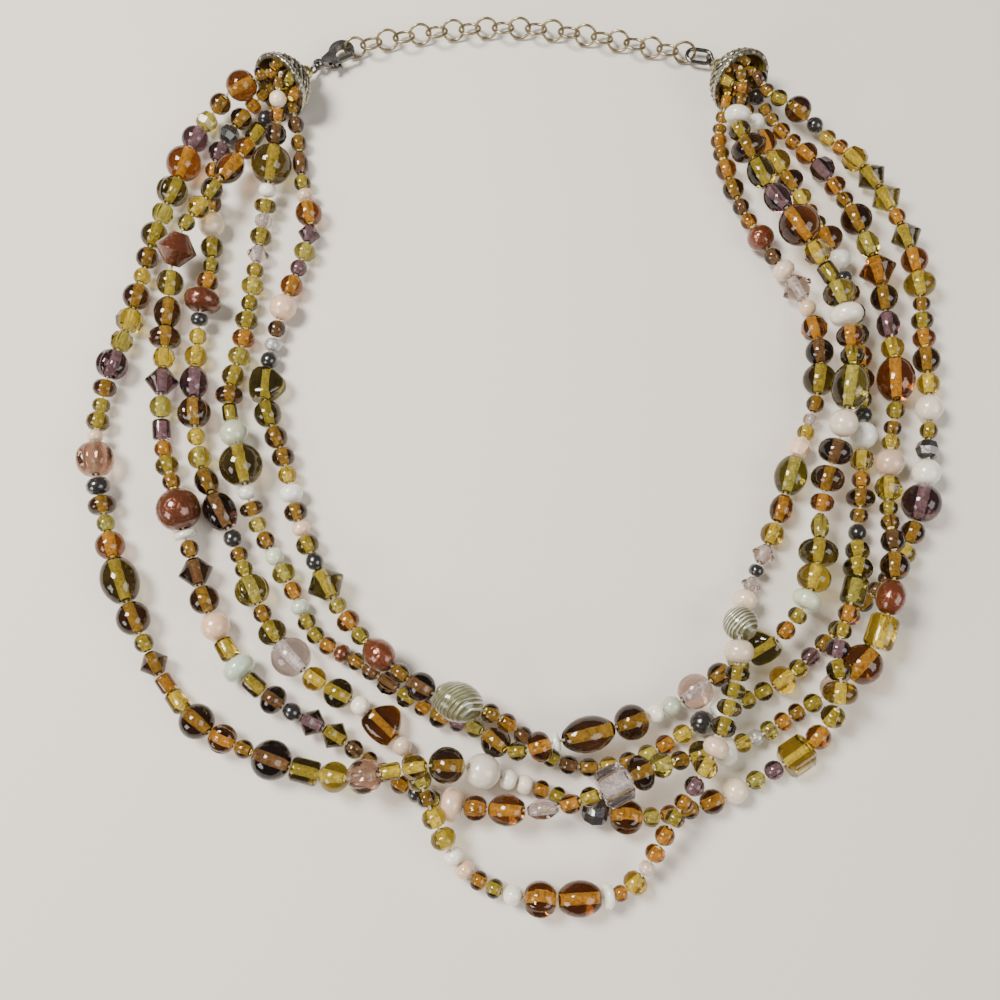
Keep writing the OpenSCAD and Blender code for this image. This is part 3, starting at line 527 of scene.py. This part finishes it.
def make_bead(word):
    """One drilled bead along Z as a mesh. Faces of the hole have material 1."""
    kind = FORMS[word[0]][3]
    h = bead_l(word) / 2
    hole = hole_r(word)
    line = [(hole, h), (hole, LINED * h), (hole, -LINED * h), (hole, -h)] + bead_profile(word)
    bm = bmesh.new()
    spin_loop(bm, line, steps(word)[1])
    for v in bm.verts:
        shape_wall(kind, word, hole, v)
    bmesh.ops.recalc_face_normals(bm, faces=bm.faces)
    sharp = SHARP_FACET if kind == "facet" else SHARP_BEAD
    lined_h = (1 + LINED) / 2 * h
    for f in bm.faces:
        f.smooth = kind != "facet"
        if all(math.hypot(v.co.x, v.co.y) < hole + ON_WALL and abs(v.co.z) < lined_h
               for v in f.verts):
            f.material_index = 1
    for e in bm.edges:
        if len(e.link_faces) == 2 and e.calc_face_angle(0) > sharp:
            e.smooth = False
    mesh = bpy.data.meshes.new("bead_" + word)
    bm.to_mesh(mesh)
    bm.free()
    return mesh


def chance(*seed):
    """A number from 0 to 1 that is always the same for the same seed."""
    return (math.sin(sum((7.13 + 3.71 * i) * s for i, s in enumerate(seed, 1))) * 43758.5453) % 1.0


def vary(what, k, i):
    """A value of SPREAD for bead i of strand k."""
    start, span, number = SPREAD[what]
    return start + span * chance(k, i, number)


def cone_place(side):
    """Turns a cone's own axis, +Z from its mouth, to its place, in millimetres."""
    x, y, yaw = CONES[side]
    dip = math.radians(CONE_DIP)
    z = (MOUTH_R + RELIEF) * math.cos(dip) + REST_T * math.sin(dip)
    return Matrix.Translation((x, y, z)) @ Matrix.Rotation(math.radians(yaw), 4, "Z") \
        @ Matrix.Rotation(math.pi / 2 + dip, 4, "Y")


def in_the_mouth(k, side, knot):
    """Seed beads of a strand that sit inside a cone's mouth: words and the knots between them."""
    place = cone_place(side)
    axis = place.to_3x3() @ Vector((0, 0, 1))
    gather = place @ Vector((0, 0, KNOT_T))
    out = knot - gather
    end = gather + KNOT_R * (out - out.dot(axis) * axis).normalized()
    words, knots = [], [knot]
    for word in MOUTH_SEEDS[k].split():
        step = end - knots[-1]
        if step.length < bead_l(word) + KNOT_PLAY:
            break
        words.append(word)
        knots.append(knots[-1] + step.normalized() * (bead_l(word) + SEED_PLAY))
    return words, knots


def ball(word, a, b):
    """Middle and radius of a bead between two knots."""
    return (a + b) / 2, bead_d(word) / 2


def fill_mouths():
    """Seed beads packed into the free room of the mouths: word, place and direction."""
    taken = []
    for k in range(5):
        words, knots = string_up(k)
        taken.append(ball(words[0], knots[0], knots[1]))
        taken.append(ball(words[1], knots[1], knots[2]))
        taken.append(ball(words[-1], knots[-2], knots[-1]))
        for side, knot in (("left", knots[0]), ("right", knots[-1])):
            more, line = in_the_mouth(k, side, knot)
            taken += [ball(word, a, b) for word, a, b in zip(more, line, line[1:])]
    room = [(rho, math.radians(first + step * j), t, size)
            for rho, first, step, count, t, size in MOUTH_RINGS for j in range(count)]
    packed = []
    for side in CONES:
        place = cone_place(side)
        for j, (rho, turn, t, size) in enumerate(room):
            spot = place @ Vector((rho * math.cos(turn), rho * math.sin(turn), t))
            word = MOUTH_WORDS[j % len(MOUTH_WORDS)] + size
            r = bead_d(word) / 2
            if all((spot - other).length > MOUTH_CROWD * (r + near) for other, near in taken):
                way = place.to_3x3() @ Vector((MOUTH_LEAN * math.cos(turn), MOUTH_LEAN, 1))
                packed.append((word, spot, way.normalized()))
                taken.append((spot, r))
    return packed


def bead_strand(k, finish):
    """All beads of one strand and one finish, joined in one mesh."""
    words, knots = string_up(k)
    head, first = in_the_mouth(k, "left", knots[0])
    tail, last = in_the_mouth(k, "right", knots[-1])
    words = head[::-1] + words + tail
    knots = first[::-1] + knots[1:] + last[1:]
    bm = bmesh.new()
    tint = bm.verts.layers.float_color.new("tint")
    # Colour of the painted glow of each bead's lined hole
    lining_glow = bm.verts.layers.float_color.new("lining_glow")
    cast = {}
    beads = [(word, (a + b) / 2, (b - a).normalized())
             for word, a, b in zip(words, knots, knots[1:])]
    if k == MOUTH_STRAND:
        beads += fill_mouths()
    for i, (word, middle, axis) in enumerate(beads):
        bead_finish, body, core_glow = COLOURS[word[1]]
        if bead_finish != finish:
            continue
        form = word[0] + word[2] + (word[1] if word[0] == "k" else "")
        if form not in cast:
            cast[form] = make_bead(word)
        known = len(bm.verts)
        bm.from_mesh(cast[form])
        bm.verts.ensure_lookup_table()
        new = bm.verts[known:]
        yaw = math.atan2(axis.y, axis.x)
        polar = math.acos(axis.z)
        turn = 0.0 if word[0] == "h" else vary("turn", k, i)
        width = MM * vary("width", k, i)
        place = Matrix.Translation(middle * MM) @ Matrix.Rotation(yaw, 4, "Z") \
            @ Matrix.Rotation(polar, 4, "Y") @ Matrix.Rotation(turn, 4, "Z") \
            @ Matrix.Diagonal((width, width, MM, 1))
        bmesh.ops.transform(bm, matrix=place, verts=new)
        shade = vary("shade", k, i)
        warm = vary("warmth", k, i)
        shades = (shade * warm, shade, shade / warm)
        striped = 1.0 if word[1] == "x" else 0.0
        colour = [min(1.0, max(0.0, c * s)) for c, s in zip(body, shades)] + [striped]
        # The glass in front dims the lining's painted glow, so its colour is raised by what the
        # glass takes
        glow = vary("glow", k, i) / PAINTED_LINING_GLOW
        hole = [min(1.0, glow * c / math.sqrt(b)) for b, c in zip(body, core_glow)] + [1.0]
        for v in new:
            v[tint] = colour
            v[lining_glow] = hole
    for mesh in cast.values():
        bpy.data.meshes.remove(mesh)
    return as_piece(bm, "strand_%d_%s" % (k + 1, finish))


def set_inputs(node, values):
    """Gives a node's inputs their values by name."""
    for key, value in values.items():
        node.inputs[key].default_value = value


def add_node(tree, kind, place, inputs=None, **values):
    """A new node at a place, with the values of its inputs and of its properties."""
    made = tree.nodes.new(kind)
    made.location = place
    for key, value in values.items():
        setattr(made, key, value)
    set_inputs(made, inputs or {})
    return made


def add_range(tree, place, value, start=(0.0, 1.0), end=(0.0, 1.0)):
    """A value brought from one range to another."""
    made = add_node(tree, "ShaderNodeMapRange", place, {
        "From Min": start[0], "From Max": start[1], "To Min": end[0], "To Max": end[1]})
    tree.links.new(value, made.inputs["Value"])
    return made.outputs["Result"]


def add_math(tree, place, operation, a, b):
    """The result of an operation on two values."""
    made = add_node(tree, "ShaderNodeMath", place, operation=operation)
    tree.links.new(a, made.inputs[0])
    tree.links.new(b, made.inputs[1])
    return made.outputs[0]


def mix_colours(tree, place, kind="MIX"):
    """The sockets of a colour mix: factor, first, second, result."""
    mix = add_node(tree, "ShaderNodeMix", place, data_type="RGBA", blend_type=kind)
    return mix.inputs[0], mix.inputs[6], mix.inputs[7], mix.outputs[2]


def add_bump(tree, surface, height, strength, distance):
    """Fine relief on a surface from a mask of its height."""
    bump = add_node(tree, "ShaderNodeBump", (-200, -400),
                    {"Strength": strength, "Distance": distance})
    tree.links.new(height, bump.inputs["Height"])
    tree.links.new(bump.outputs["Normal"], surface.inputs["Normal"])


def new_group(name, setting, value, masks):
    """A node group with one setting and some masks: the group, its input and output nodes."""
    group = bpy.data.node_groups.new(name, "ShaderNodeTree")
    given = group.interface.new_socket(setting, in_out="INPUT", socket_type="NodeSocketFloat")
    given.default_value = value
    for mask in masks:
        group.interface.new_socket(mask, in_out="OUTPUT", socket_type="NodeSocketFloat")
    start = add_node(group, "NodeGroupInput", (-800, 0))
    end = add_node(group, "NodeGroupOutput", (150, 0))
    return group, start, end


def glass_grain_group():
    """Waviness and fine streaks of hand-made glass, as masks that change over the surface."""
    name = "Handmade glass"
    if name in bpy.data.node_groups:
        return bpy.data.node_groups[name]
    group, start, end = new_group(name, "Scale", 1.0, ("Waves", "Streaks"))
    place = add_node(group, "ShaderNodeTexCoord", (-800, -200))
    size = add_node(group, "ShaderNodeVectorMath", (-600, 0), operation="SCALE")
    waves = add_node(group, "ShaderNodeTexNoise", (-400, 100), {"Scale": 420, "Detail": 2})
    streaks = add_node(group, "ShaderNodeTexNoise", (-400, -200),
                       {"Scale": 900, "Detail": 4, "Distortion": 1.5})
    group.links.new(place.outputs["Object"], size.inputs[0])
    group.links.new(start.outputs["Scale"], size.inputs["Scale"])
    for noise, mask in ((waves, "Waves"), (streaks, "Streaks")):
        group.links.new(size.outputs[0], noise.inputs["Vector"])
        group.links.new(noise.outputs["Fac"], end.inputs[mask])
    return group


def tarnish_group():
    """Tarnish of plated metal: a blotch mask and a scratch mask."""
    name = "Tarnish"
    if name in bpy.data.node_groups:
        return bpy.data.node_groups[name]
    group, start, end = new_group(name, "Amount", 0.5, ("Tarnish", "Scratches"))
    place = add_node(group, "ShaderNodeTexCoord", (-800, -200))
    blotch = add_node(group, "ShaderNodeTexNoise", (-500, 100), {"Scale": 650, "Detail": 5})
    stretch = add_node(group, "ShaderNodeMapping", (-600, -250), {"Scale": (1, 6, 2)})
    lines = add_node(group, "ShaderNodeTexNoise", (-400, -250), {"Scale": 1800})
    group.links.new(place.outputs["Object"], blotch.inputs["Vector"])
    group.links.new(place.outputs["Object"], stretch.inputs["Vector"])
    group.links.new(stretch.outputs["Vector"], lines.inputs["Vector"])
    spread = add_range(group, (-250, 100), blotch.outputs["Fac"], (0.42, 0.68))
    share = add_math(group, (-50, 100), "MULTIPLY", spread, start.outputs["Amount"])
    group.links.new(share, end.inputs["Tarnish"])
    group.links.new(lines.outputs["Fac"], end.inputs["Scratches"])
    return group


def new_material(name):
    """A material, its node tree and its Principled surface."""
    made = bpy.data.materials.new(name)
    made.use_nodes = True
    return made, made.node_tree, made.node_tree.nodes["Principled BSDF"]


def streaked_layer(tree, surface, layer, scale, streaks, least):
    """Colours a surface from a layer of its points, dimmed in streaks: the colour, the grain."""
    tint = add_node(tree, "ShaderNodeAttribute", (-900, 200), attribute_name=layer)
    grain = add_node(tree, "ShaderNodeGroup", (-900, -100), {"Scale": scale},
                     node_tree=glass_grain_group())
    dimming = add_range(tree, (-650, -50), grain.outputs["Streaks"], streaks, (least, 1.0))
    factor, first, second, result = mix_colours(tree, (-400, 200), "MULTIPLY")
    factor.default_value = 1.0
    tree.links.new(tint.outputs["Color"], first)
    tree.links.new(dimming, second)
    tree.links.new(result, surface.inputs["Base Color"])
    return result, grain


def glass_material(look):
    """Clear coloured bead glass: the colour comes from each bead's own tint."""
    made, tree, surface = new_material("bead_glass")
    _, grain = streaked_layer(tree, surface, "tint", scale=1.0, streaks=(0.3, 0.7), least=0.86)
    rays = add_node(tree, "ShaderNodeLightPath", (-650, -500))
    veil = add_range(tree, (-400, -500), rays.outputs["Is Shadow Ray"], end=(1.0, 0.5))
    tree.links.new(veil, surface.inputs["Alpha"])
    set_inputs(surface, {
        "Transmission Weight": 1.0, "Roughness": look.glass_roughness, "IOR": look.glass_ior})
    add_bump(tree, surface, grain.outputs["Waves"], look.glass_waviness, distance=0.0006)
    return made


def lining_glow_material():
    """The lined hole of a bead, seen through its glass, with its colour painted in as a glow."""
    made, tree, surface = new_material("painted_glow_lining")
    colour, _ = streaked_layer(tree, surface, "lining_glow", scale=1.4, streaks=(0.35, 0.62), least=0.45)
    # Painted glow: the lining's colour is given off as emitted light in place of the light it would
    # reflect
    tree.links.new(colour, surface.inputs["Emission Color"])
    set_inputs(surface, {"Emission Strength": PAINTED_LINING_GLOW, "Roughness": 0.35})
    return made


def opaque_material(look):
    """Milky, pearly and black glass with a wet gloss."""
    made, tree, surface = new_material("opaque_glass")
    _, grain = streaked_layer(tree, surface, "tint", scale=1.0, streaks=(0.3, 0.7), least=0.84)
    set_inputs(surface, {
        "Roughness": 0.24, "Coat Weight": 0.9, "Coat Roughness": 0.08, "Sheen Weight": 0.1,
        "Subsurface Weight": 0.25, "Subsurface Radius": (0.0012, 0.0009, 0.0007)})
    add_bump(tree, surface, grain.outputs["Streaks"], look.opaque_grain, distance=0.0003)
    return made


def foil_material():
    """Glass over foil: a crackled skin, and pale broken stripes where the tint's alpha is one."""
    made, tree, surface = new_material("foil_glass")
    tint = add_node(tree, "ShaderNodeAttribute", (-1100, 300), attribute_name="tint")
    place = add_node(tree, "ShaderNodeTexCoord", (-1300, 0))
    slant = add_node(tree, "ShaderNodeMapping", (-1100, 0), {"Rotation": (0.4, 0.3, 1.0)})
    bands = add_node(tree, "ShaderNodeTexWave", (-900, 0), {
        "Scale": 480, "Distortion": 3.0, "Detail": 1, "Detail Scale": 0.6})
    patches = add_node(tree, "ShaderNodeTexNoise", (-900, 250), {"Scale": 170, "Detail": 1})
    crackle = add_node(tree, "ShaderNodeTexVoronoi", (-900, -300),
                       {"Scale": 700, "Randomness": 0.9}, feature="DISTANCE_TO_EDGE")
    tree.links.new(place.outputs["Object"], slant.inputs["Vector"])
    tree.links.new(place.outputs["Object"], patches.inputs["Vector"])
    for texture in (bands, crackle):
        tree.links.new(slant.outputs["Vector"], texture.inputs["Vector"])
    stripes = add_range(tree, (-700, 0), bands.outputs["Fac"], (0.6, 0.95), (0.0, 0.8))
    worn = add_range(tree, (-700, 250), patches.outputs["Fac"], (0.40, 0.56), (0.12, 1.0))
    broken = add_math(tree, (-550, 100), "MULTIPLY", stripes, worn)
    striped = add_math(tree, (-400, 0), "MULTIPLY", broken, tint.outputs["Alpha"])
    factor, first, second, result = mix_colours(tree, (-250, 200))
    second.default_value = (0.92, 0.92, 0.86, 1)
    tree.links.new(striped, factor)
    tree.links.new(tint.outputs["Color"], first)
    tree.links.new(result, surface.inputs["Base Color"])
    relief = add_node(tree, "ShaderNodeMix", (-500, -300), data_type="FLOAT")
    tree.links.new(tint.outputs["Alpha"], relief.inputs[0])
    tree.links.new(crackle.outputs["Distance"], relief.inputs[2])
    tree.links.new(bands.outputs["Fac"], relief.inputs[3])
    set_inputs(surface, {
        "Metallic": 0.45, "Roughness": 0.3, "Coat Weight": 1.0, "Coat Roughness": 0.04})
    add_bump(tree, surface, relief.outputs[0], strength=0.6, distance=0.0005)
    return made


def metal_material(name, colour, dark, roughness, amount, recess=False):
    """Antiqued metal: bright on what is rubbed, dark where tarnish stays."""
    made, tree, surface = new_material(name)
    wear = add_node(tree, "ShaderNodeGroup", (-900, 0), {"Amount": amount},
                    node_tree=tarnish_group())
    mask = wear.outputs["Tarnish"]
    if recess:
        depth = add_node(tree, "ShaderNodeAttribute", (-900, 300), attribute_name="recess")
        mask = add_math(tree, (-600, 200), "MAXIMUM", depth.outputs["Fac"], mask)
    factor, first, second, result = mix_colours(tree, (-400, 200))
    first.default_value = (*colour, 1)
    second.default_value = (*dark, 1)
    tree.links.new(mask, factor)
    tree.links.new(result, surface.inputs["Base Color"])
    rough = add_range(tree, (-400, -100), mask, end=(roughness, min(1.0, roughness + 0.3)))
    tree.links.new(rough, surface.inputs["Roughness"])
    surface.inputs["Metallic"].default_value = 1.0
    add_bump(tree, surface, wear.outputs["Scratches"], strength=0.15, distance=0.0001)
    return made


def thread_material():
    """Pale beading thread with a fine twist."""
    made, tree, surface = new_material("thread")
    place = add_node(tree, "ShaderNodeTexCoord", (-900, 0))
    twist = add_node(tree, "ShaderNodeTexWave", (-700, 0), {"Scale": 900, "Distortion": 3})
    factor, first, second, result = mix_colours(tree, (-400, 100))
    first.default_value = (0.40, 0.32, 0.21, 1)
    second.default_value = (0.58, 0.49, 0.35, 1)
    tree.links.new(place.outputs["Object"], twist.inputs["Vector"])
    tree.links.new(twist.outputs["Fac"], factor)
    tree.links.new(result, surface.inputs["Base Color"])
    set_inputs(surface, {"Roughness": 0.75, "Sheen Weight": 0.2})
    add_bump(tree, surface, twist.outputs["Fac"], strength=0.4, distance=0.0001)
    return made


def cone_radius(t):
    """Radius of a cone's outer face at t along its axis from the mouth."""
    for (ra, ta), (rb, tb) in zip(CONE_LINE, CONE_LINE[1:]):
        if t <= tb * CONE_L:
            share = (t - ta * CONE_L) / ((tb - ta) * CONE_L)
            return APEX_R + (MOUTH_R - APEX_R) * (ra + (rb - ra) * share)
    return APEX_R


def cone_relief(t, phi):
    """Height of the cast relief, 0 to 1: slanted ropes with leaves between them."""
    lanes = (phi + ROPE_SLANT * t / MOUTH_R) * ROPES / (2 * math.pi)
    lane = lanes % 1.0
    rope = max(0.0, 1 - abs(lane - 0.5) / ROPE_HALF)
    along, across = TWIST_PACE
    twist = 1 - TWIST_DEPTH + TWIST_DEPTH * math.sin(t * along + lane * across)
    leaf_t = (t * LEAVES_PER_MM + math.floor(lanes) * LEAF_SHIFT) % 1.0
    side = min(lane, 1 - lane)
    leaf = max(0.0, 1 - side / (LEAF_HALF * math.sin(math.pi * leaf_t) + LEAF_TIP))
    vein = VEIN_HEIGHT + VEIN_RISE * min(1.0, side * VEIN_SLOPE)
    return max(rope ** ROPE_ROUND * twist, leaf ** LEAF_ROUND * vein)


def make_cone(side):
    """One end cone: a spun wall with ropes, leaves and a beaded rim."""
    places = [CONE_L * i / CONE_ROWS for i in range(CONE_ROWS + 1)]
    outer = [(cone_radius(t), t) for t in places]
    floor_t = CONE_L - CONE_WALL
    inner = [(max(PIN_ROOM_R, r - CONE_WALL), t) for r, t in reversed(outer) if 0 < t < floor_t]
    bm = bmesh.new()
    spin_loop(bm, outer + [(PIN_ROOM_R, CONE_L), (PIN_ROOM_R, floor_t)] + inner
              + [(MOUTH_R - CONE_WALL, 0)], CONE_SIDES)
    recess = bm.verts.layers.float.new("recess")
    for v in bm.verts:
        t = v.co.z
        rho = math.hypot(v.co.x, v.co.y)
        if rho < cone_radius(t) - 2 * ON_WALL:
            v[recess] = INNER_TARNISH
            continue
        phi = math.atan2(v.co.y, v.co.x)
        rim = max(0.0, 1 - abs(t - RIM_HALF) / RIM_HALF)
        if rim > 0:
            swell = 1 - RIM_DEPTH + RIM_DEPTH * math.cos(RIM_BEADS * phi + RIM_SLANT * t)
            high = math.sqrt(rim) * swell
            lift = RIM_HEIGHT * high + RIM_LIFT
        else:
            high = cone_relief(t, phi)
            fade = min(1.0, max(0.0, (CONE_L - t) / CAST_FADE))
            lift = (CAST_HEIGHT * high - CAST_SINK) * fade
        v[recess] = min(1.0, max(0.0, FOOT_TARNISH - RUBBED * high))
        v.co.x *= (rho + lift) / rho
        v.co.y *= (rho + lift) / rho
    bmesh.ops.recalc_face_normals(bm, faces=bm.faces)
    bmesh.ops.transform(bm, matrix=Matrix.Scale(MM, 4) @ cone_place(side), verts=bm.verts)
    for f in bm.faces:
        f.smooth = True
    return as_piece(bm, "dressed_cone_" + side)


def finish_node(node, material):
    """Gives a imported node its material."""
    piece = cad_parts[node]
    piece.data.materials.clear()
    piece.data.materials.append(material)


class NecklaceBeads(bpy.types.PropertyGroup):
    glass_roughness: FloatProperty(
        name="Glass roughness", description="How blurred the clear beads are", default=0.03,
        min=0, max=1)
    glass_ior: FloatProperty(
        name="Glass bending", description="How strongly the glass bends light", default=1.5,
        min=1, max=2)
    glass_waviness: FloatProperty(
        name="Glass waviness", description="Strength of the uneven surface", default=0.25,
        min=0, max=1)
    opaque_grain: FloatProperty(
        name="Milk glass grain", description="Strength of the grain of the milky beads",
        default=0.2, min=0, max=1)


class NecklaceMetal(bpy.types.PropertyGroup):
    silver: FloatVectorProperty(
        name="Cone metal", description="Colour of the rubbed metal of the end cones",
        subtype="COLOR", default=(0.58, 0.55, 0.44), min=0, max=1)
    gold: FloatVectorProperty(
        name="Small gold beads", description="Colour of the beads at the narrow ends of the cones",
        subtype="COLOR", default=(0.56, 0.48, 0.20), min=0, max=1)
    brass: FloatVectorProperty(
        name="Chain metal", description="Colour of the extender chain", subtype="COLOR",
        default=(0.36, 0.30, 0.18), min=0, max=1)
    steel: FloatVectorProperty(
        name="Clasp metal", description="Colour of the clasp, pins and jump ring", subtype="COLOR",
        default=(0.20, 0.19, 0.18), min=0, max=1)


class NecklaceStage(bpy.types.PropertyGroup):
    lens: FloatProperty(
        name="Lens", description="Focal length of the camera in millimetres", default=39.6,
        min=10, max=200)
    key_power: FloatProperty(
        name="Key light", description="Power of the key light", default=7.0, min=0, unit="POWER")


def dress_strands(finish, material, lining_glow):
    """Strings the beads of one finish on every strand that has any."""
    for k in range(5):
        if all(COLOURS[word[1]][0] != finish for word in CHARTS[k].split()):
            continue
        piece = bead_strand(k, finish)
        piece.data.materials.append(material)
        piece.data.materials.append(lining_glow)
        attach(piece, "necklace")
        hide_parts("strand_%d" % (k + 1))


class NECKLACE_OT_glass_beads(bpy.types.Operator):
    """Strings the clear coloured glass beads of all strands"""
    bl_idname = "necklace.glass_beads"
    bl_label = "Clear glass beads"

    def execute(self, context):
        look = context.scene.necklace_beads
        dress_strands("glass", glass_material(look), lining_glow_material())
        return {"FINISHED"}


class NECKLACE_OT_opaque_beads(bpy.types.Operator):
    """Strings the milky, pearly and black beads of all strands"""
    bl_idname = "necklace.opaque_beads"
    bl_label = "Milky and black beads"

    def execute(self, context):
        look = context.scene.necklace_beads
        lining_glow = bpy.data.materials["painted_glow_lining"]
        dress_strands("opaque", opaque_material(look), lining_glow)
        return {"FINISHED"}


class NECKLACE_OT_foil_beads(bpy.types.Operator):
    """Strings the foil beads of all strands"""
    bl_idname = "necklace.foil_beads"
    bl_label = "Foil beads"

    def execute(self, context):
        dress_strands("foil", foil_material(), bpy.data.materials["painted_glow_lining"])
        return {"FINISHED"}


class NECKLACE_OT_threads(bpy.types.Operator):
    """Finishes the threads that the beads are strung on"""
    bl_idname = "necklace.threads"
    bl_label = "Threads"

    def execute(self, context):
        material = thread_material()
        for k in range(1, 6):
            finish_node("thread_%d" % k, material)
        return {"FINISHED"}


class NECKLACE_OT_end_cones(bpy.types.Operator):
    """Builds the two end cones with their cast ropes and leaves"""
    bl_idname = "necklace.end_cones"
    bl_label = "End cones"

    def execute(self, context):
        metal = context.scene.necklace_metal
        material = metal_material("antique_silver", metal.silver[:], dark=(0.02, 0.018, 0.012),
                                  roughness=0.2, amount=0.3, recess=True)
        for side in CONES:
            piece = make_cone(side)
            piece.data.materials.append(material)
            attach(piece, "necklace")
            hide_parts("cone_" + side)
        return {"FINISHED"}


class NECKLACE_OT_findings(bpy.types.Operator):
    """Finishes the pins, gold beads, clasp, chain and jump ring"""
    bl_idname = "necklace.findings"
    bl_label = "Clasp, chain and pins"

    def execute(self, context):
        metal = context.scene.necklace_metal
        steel = metal_material("dark_steel", metal.steel[:], dark=(0.05, 0.048, 0.045),
                               roughness=0.2, amount=0.5)
        gold = metal_material("antique_gold", metal.gold[:], dark=(0.20, 0.16, 0.06),
                              roughness=0.18, amount=0.3)
        brass = metal_material("pale_brass", metal.brass[:], dark=(0.09, 0.07, 0.035),
                               roughness=0.28, amount=0.7)
        for node in ("eye_pin_left", "eye_pin_right", "clasp_body", "clasp_lever", "jump_ring"):
            finish_node(node, steel)
        for node in ("cap_bead_left", "cap_bead_right"):
            finish_node(node, gold)
        finish_node("chain", brass)
        return {"FINISHED"}


def aim(place, target):
    """Rotation of a light or camera at a place that looks at a target."""
    return (target - place).to_track_quat("-Z", "Y").to_euler()


class NECKLACE_OT_stage(bpy.types.Operator):
    """Sets the pale floor, the soft lights and the camera"""
    bl_idname = "necklace.stage"
    bl_label = "Floor, lights and camera"

    def execute(self, context):
        stage = context.scene.necklace_stage
        bm = bmesh.new()
        bmesh.ops.create_grid(bm, x_segments=2, y_segments=2, size=FLOOR_HALF)
        bmesh.ops.translate(bm, vec=(0, 0, CAD_BOX[0][2]), verts=bm.verts)
        floor = as_piece(bm, "floor")
        made, _, surface = new_material("floor")
        set_inputs(surface, {"Base Color": (0.74, 0.70, 0.64, 1), "Roughness": 0.8})
        floor.data.materials.append(made)
        for name, (place, side, share, colour) in LAMPS.items():
            light = bpy.data.lights.new(name, "AREA")
            light.size = side
            light.energy = stage.key_power * share
            light.color = colour
            lamp = bpy.data.objects.new(name, light)
            lamp.location = place
            lamp.rotation_euler = aim(lamp.location, Vector((0, 0, 0)))
            context.scene.collection.objects.link(lamp)
        world = bpy.data.worlds.new("soft_room")
        world.use_nodes = True
        set_inputs(world.node_tree.nodes["Background"],
                   {"Color": (1.0, 0.97, 0.93, 1), "Strength": ROOM_LIGHT})
        context.scene.world = world
        view = bpy.data.cameras.new("camera")
        view.lens = stage.lens
        view.sensor_width = 36
        view.clip_start = 0.01
        camera = bpy.data.objects.new("camera", view)
        camera.location = Vector(CAMERA_PLACE) * MM
        camera.rotation_euler = aim(camera.location, Vector(CAMERA_AIM) * MM)
        context.scene.collection.objects.link(camera)
        context.scene.camera = camera
        return {"FINISHED"}


class NECKLACE_PT_panel(bpy.types.Panel):
    """The settings and the steps of the necklace"""
    bl_label = "Multi strand necklace"
    bl_idname = "NECKLACE_PT_panel"
    bl_space_type = "VIEW_3D"
    bl_region_type = "UI"
    bl_category = "Necklace"

    def draw(self, context):
        for group in (context.scene.necklace_beads, context.scene.necklace_metal,
                      context.scene.necklace_stage):
            for key in group.__annotations__:
                self.layout.prop(group, key)
        for operator in OPERATORS:
            self.layout.operator(operator.bl_idname)


OPERATORS = (NECKLACE_OT_glass_beads, NECKLACE_OT_opaque_beads, NECKLACE_OT_foil_beads,
             NECKLACE_OT_threads, NECKLACE_OT_end_cones, NECKLACE_OT_findings, NECKLACE_OT_stage)
CLASSES = (NecklaceBeads, NecklaceMetal, NecklaceStage, NECKLACE_PT_panel) + OPERATORS


def register():
    for cls in CLASSES:
        bpy.utils.register_class(cls)
    bpy.types.Scene.necklace_beads = PointerProperty(type=NecklaceBeads)
    bpy.types.Scene.necklace_metal = PointerProperty(type=NecklaceMetal)
    bpy.types.Scene.necklace_stage = PointerProperty(type=NecklaceStage)


def unregister():
    del bpy.types.Scene.necklace_stage
    del bpy.types.Scene.necklace_metal
    del bpy.types.Scene.necklace_beads
    for cls in reversed(CLASSES):
        bpy.utils.unregister_class(cls)


def main():
    register()
    bpy.ops.necklace.glass_beads()
    bpy.ops.necklace.opaque_beads()
    bpy.ops.necklace.foil_beads()
    bpy.ops.necklace.threads()
    bpy.ops.necklace.end_cones()
    bpy.ops.necklace.findings()
    bpy.ops.necklace.stage()


if __name__ == "__main__":
    main()
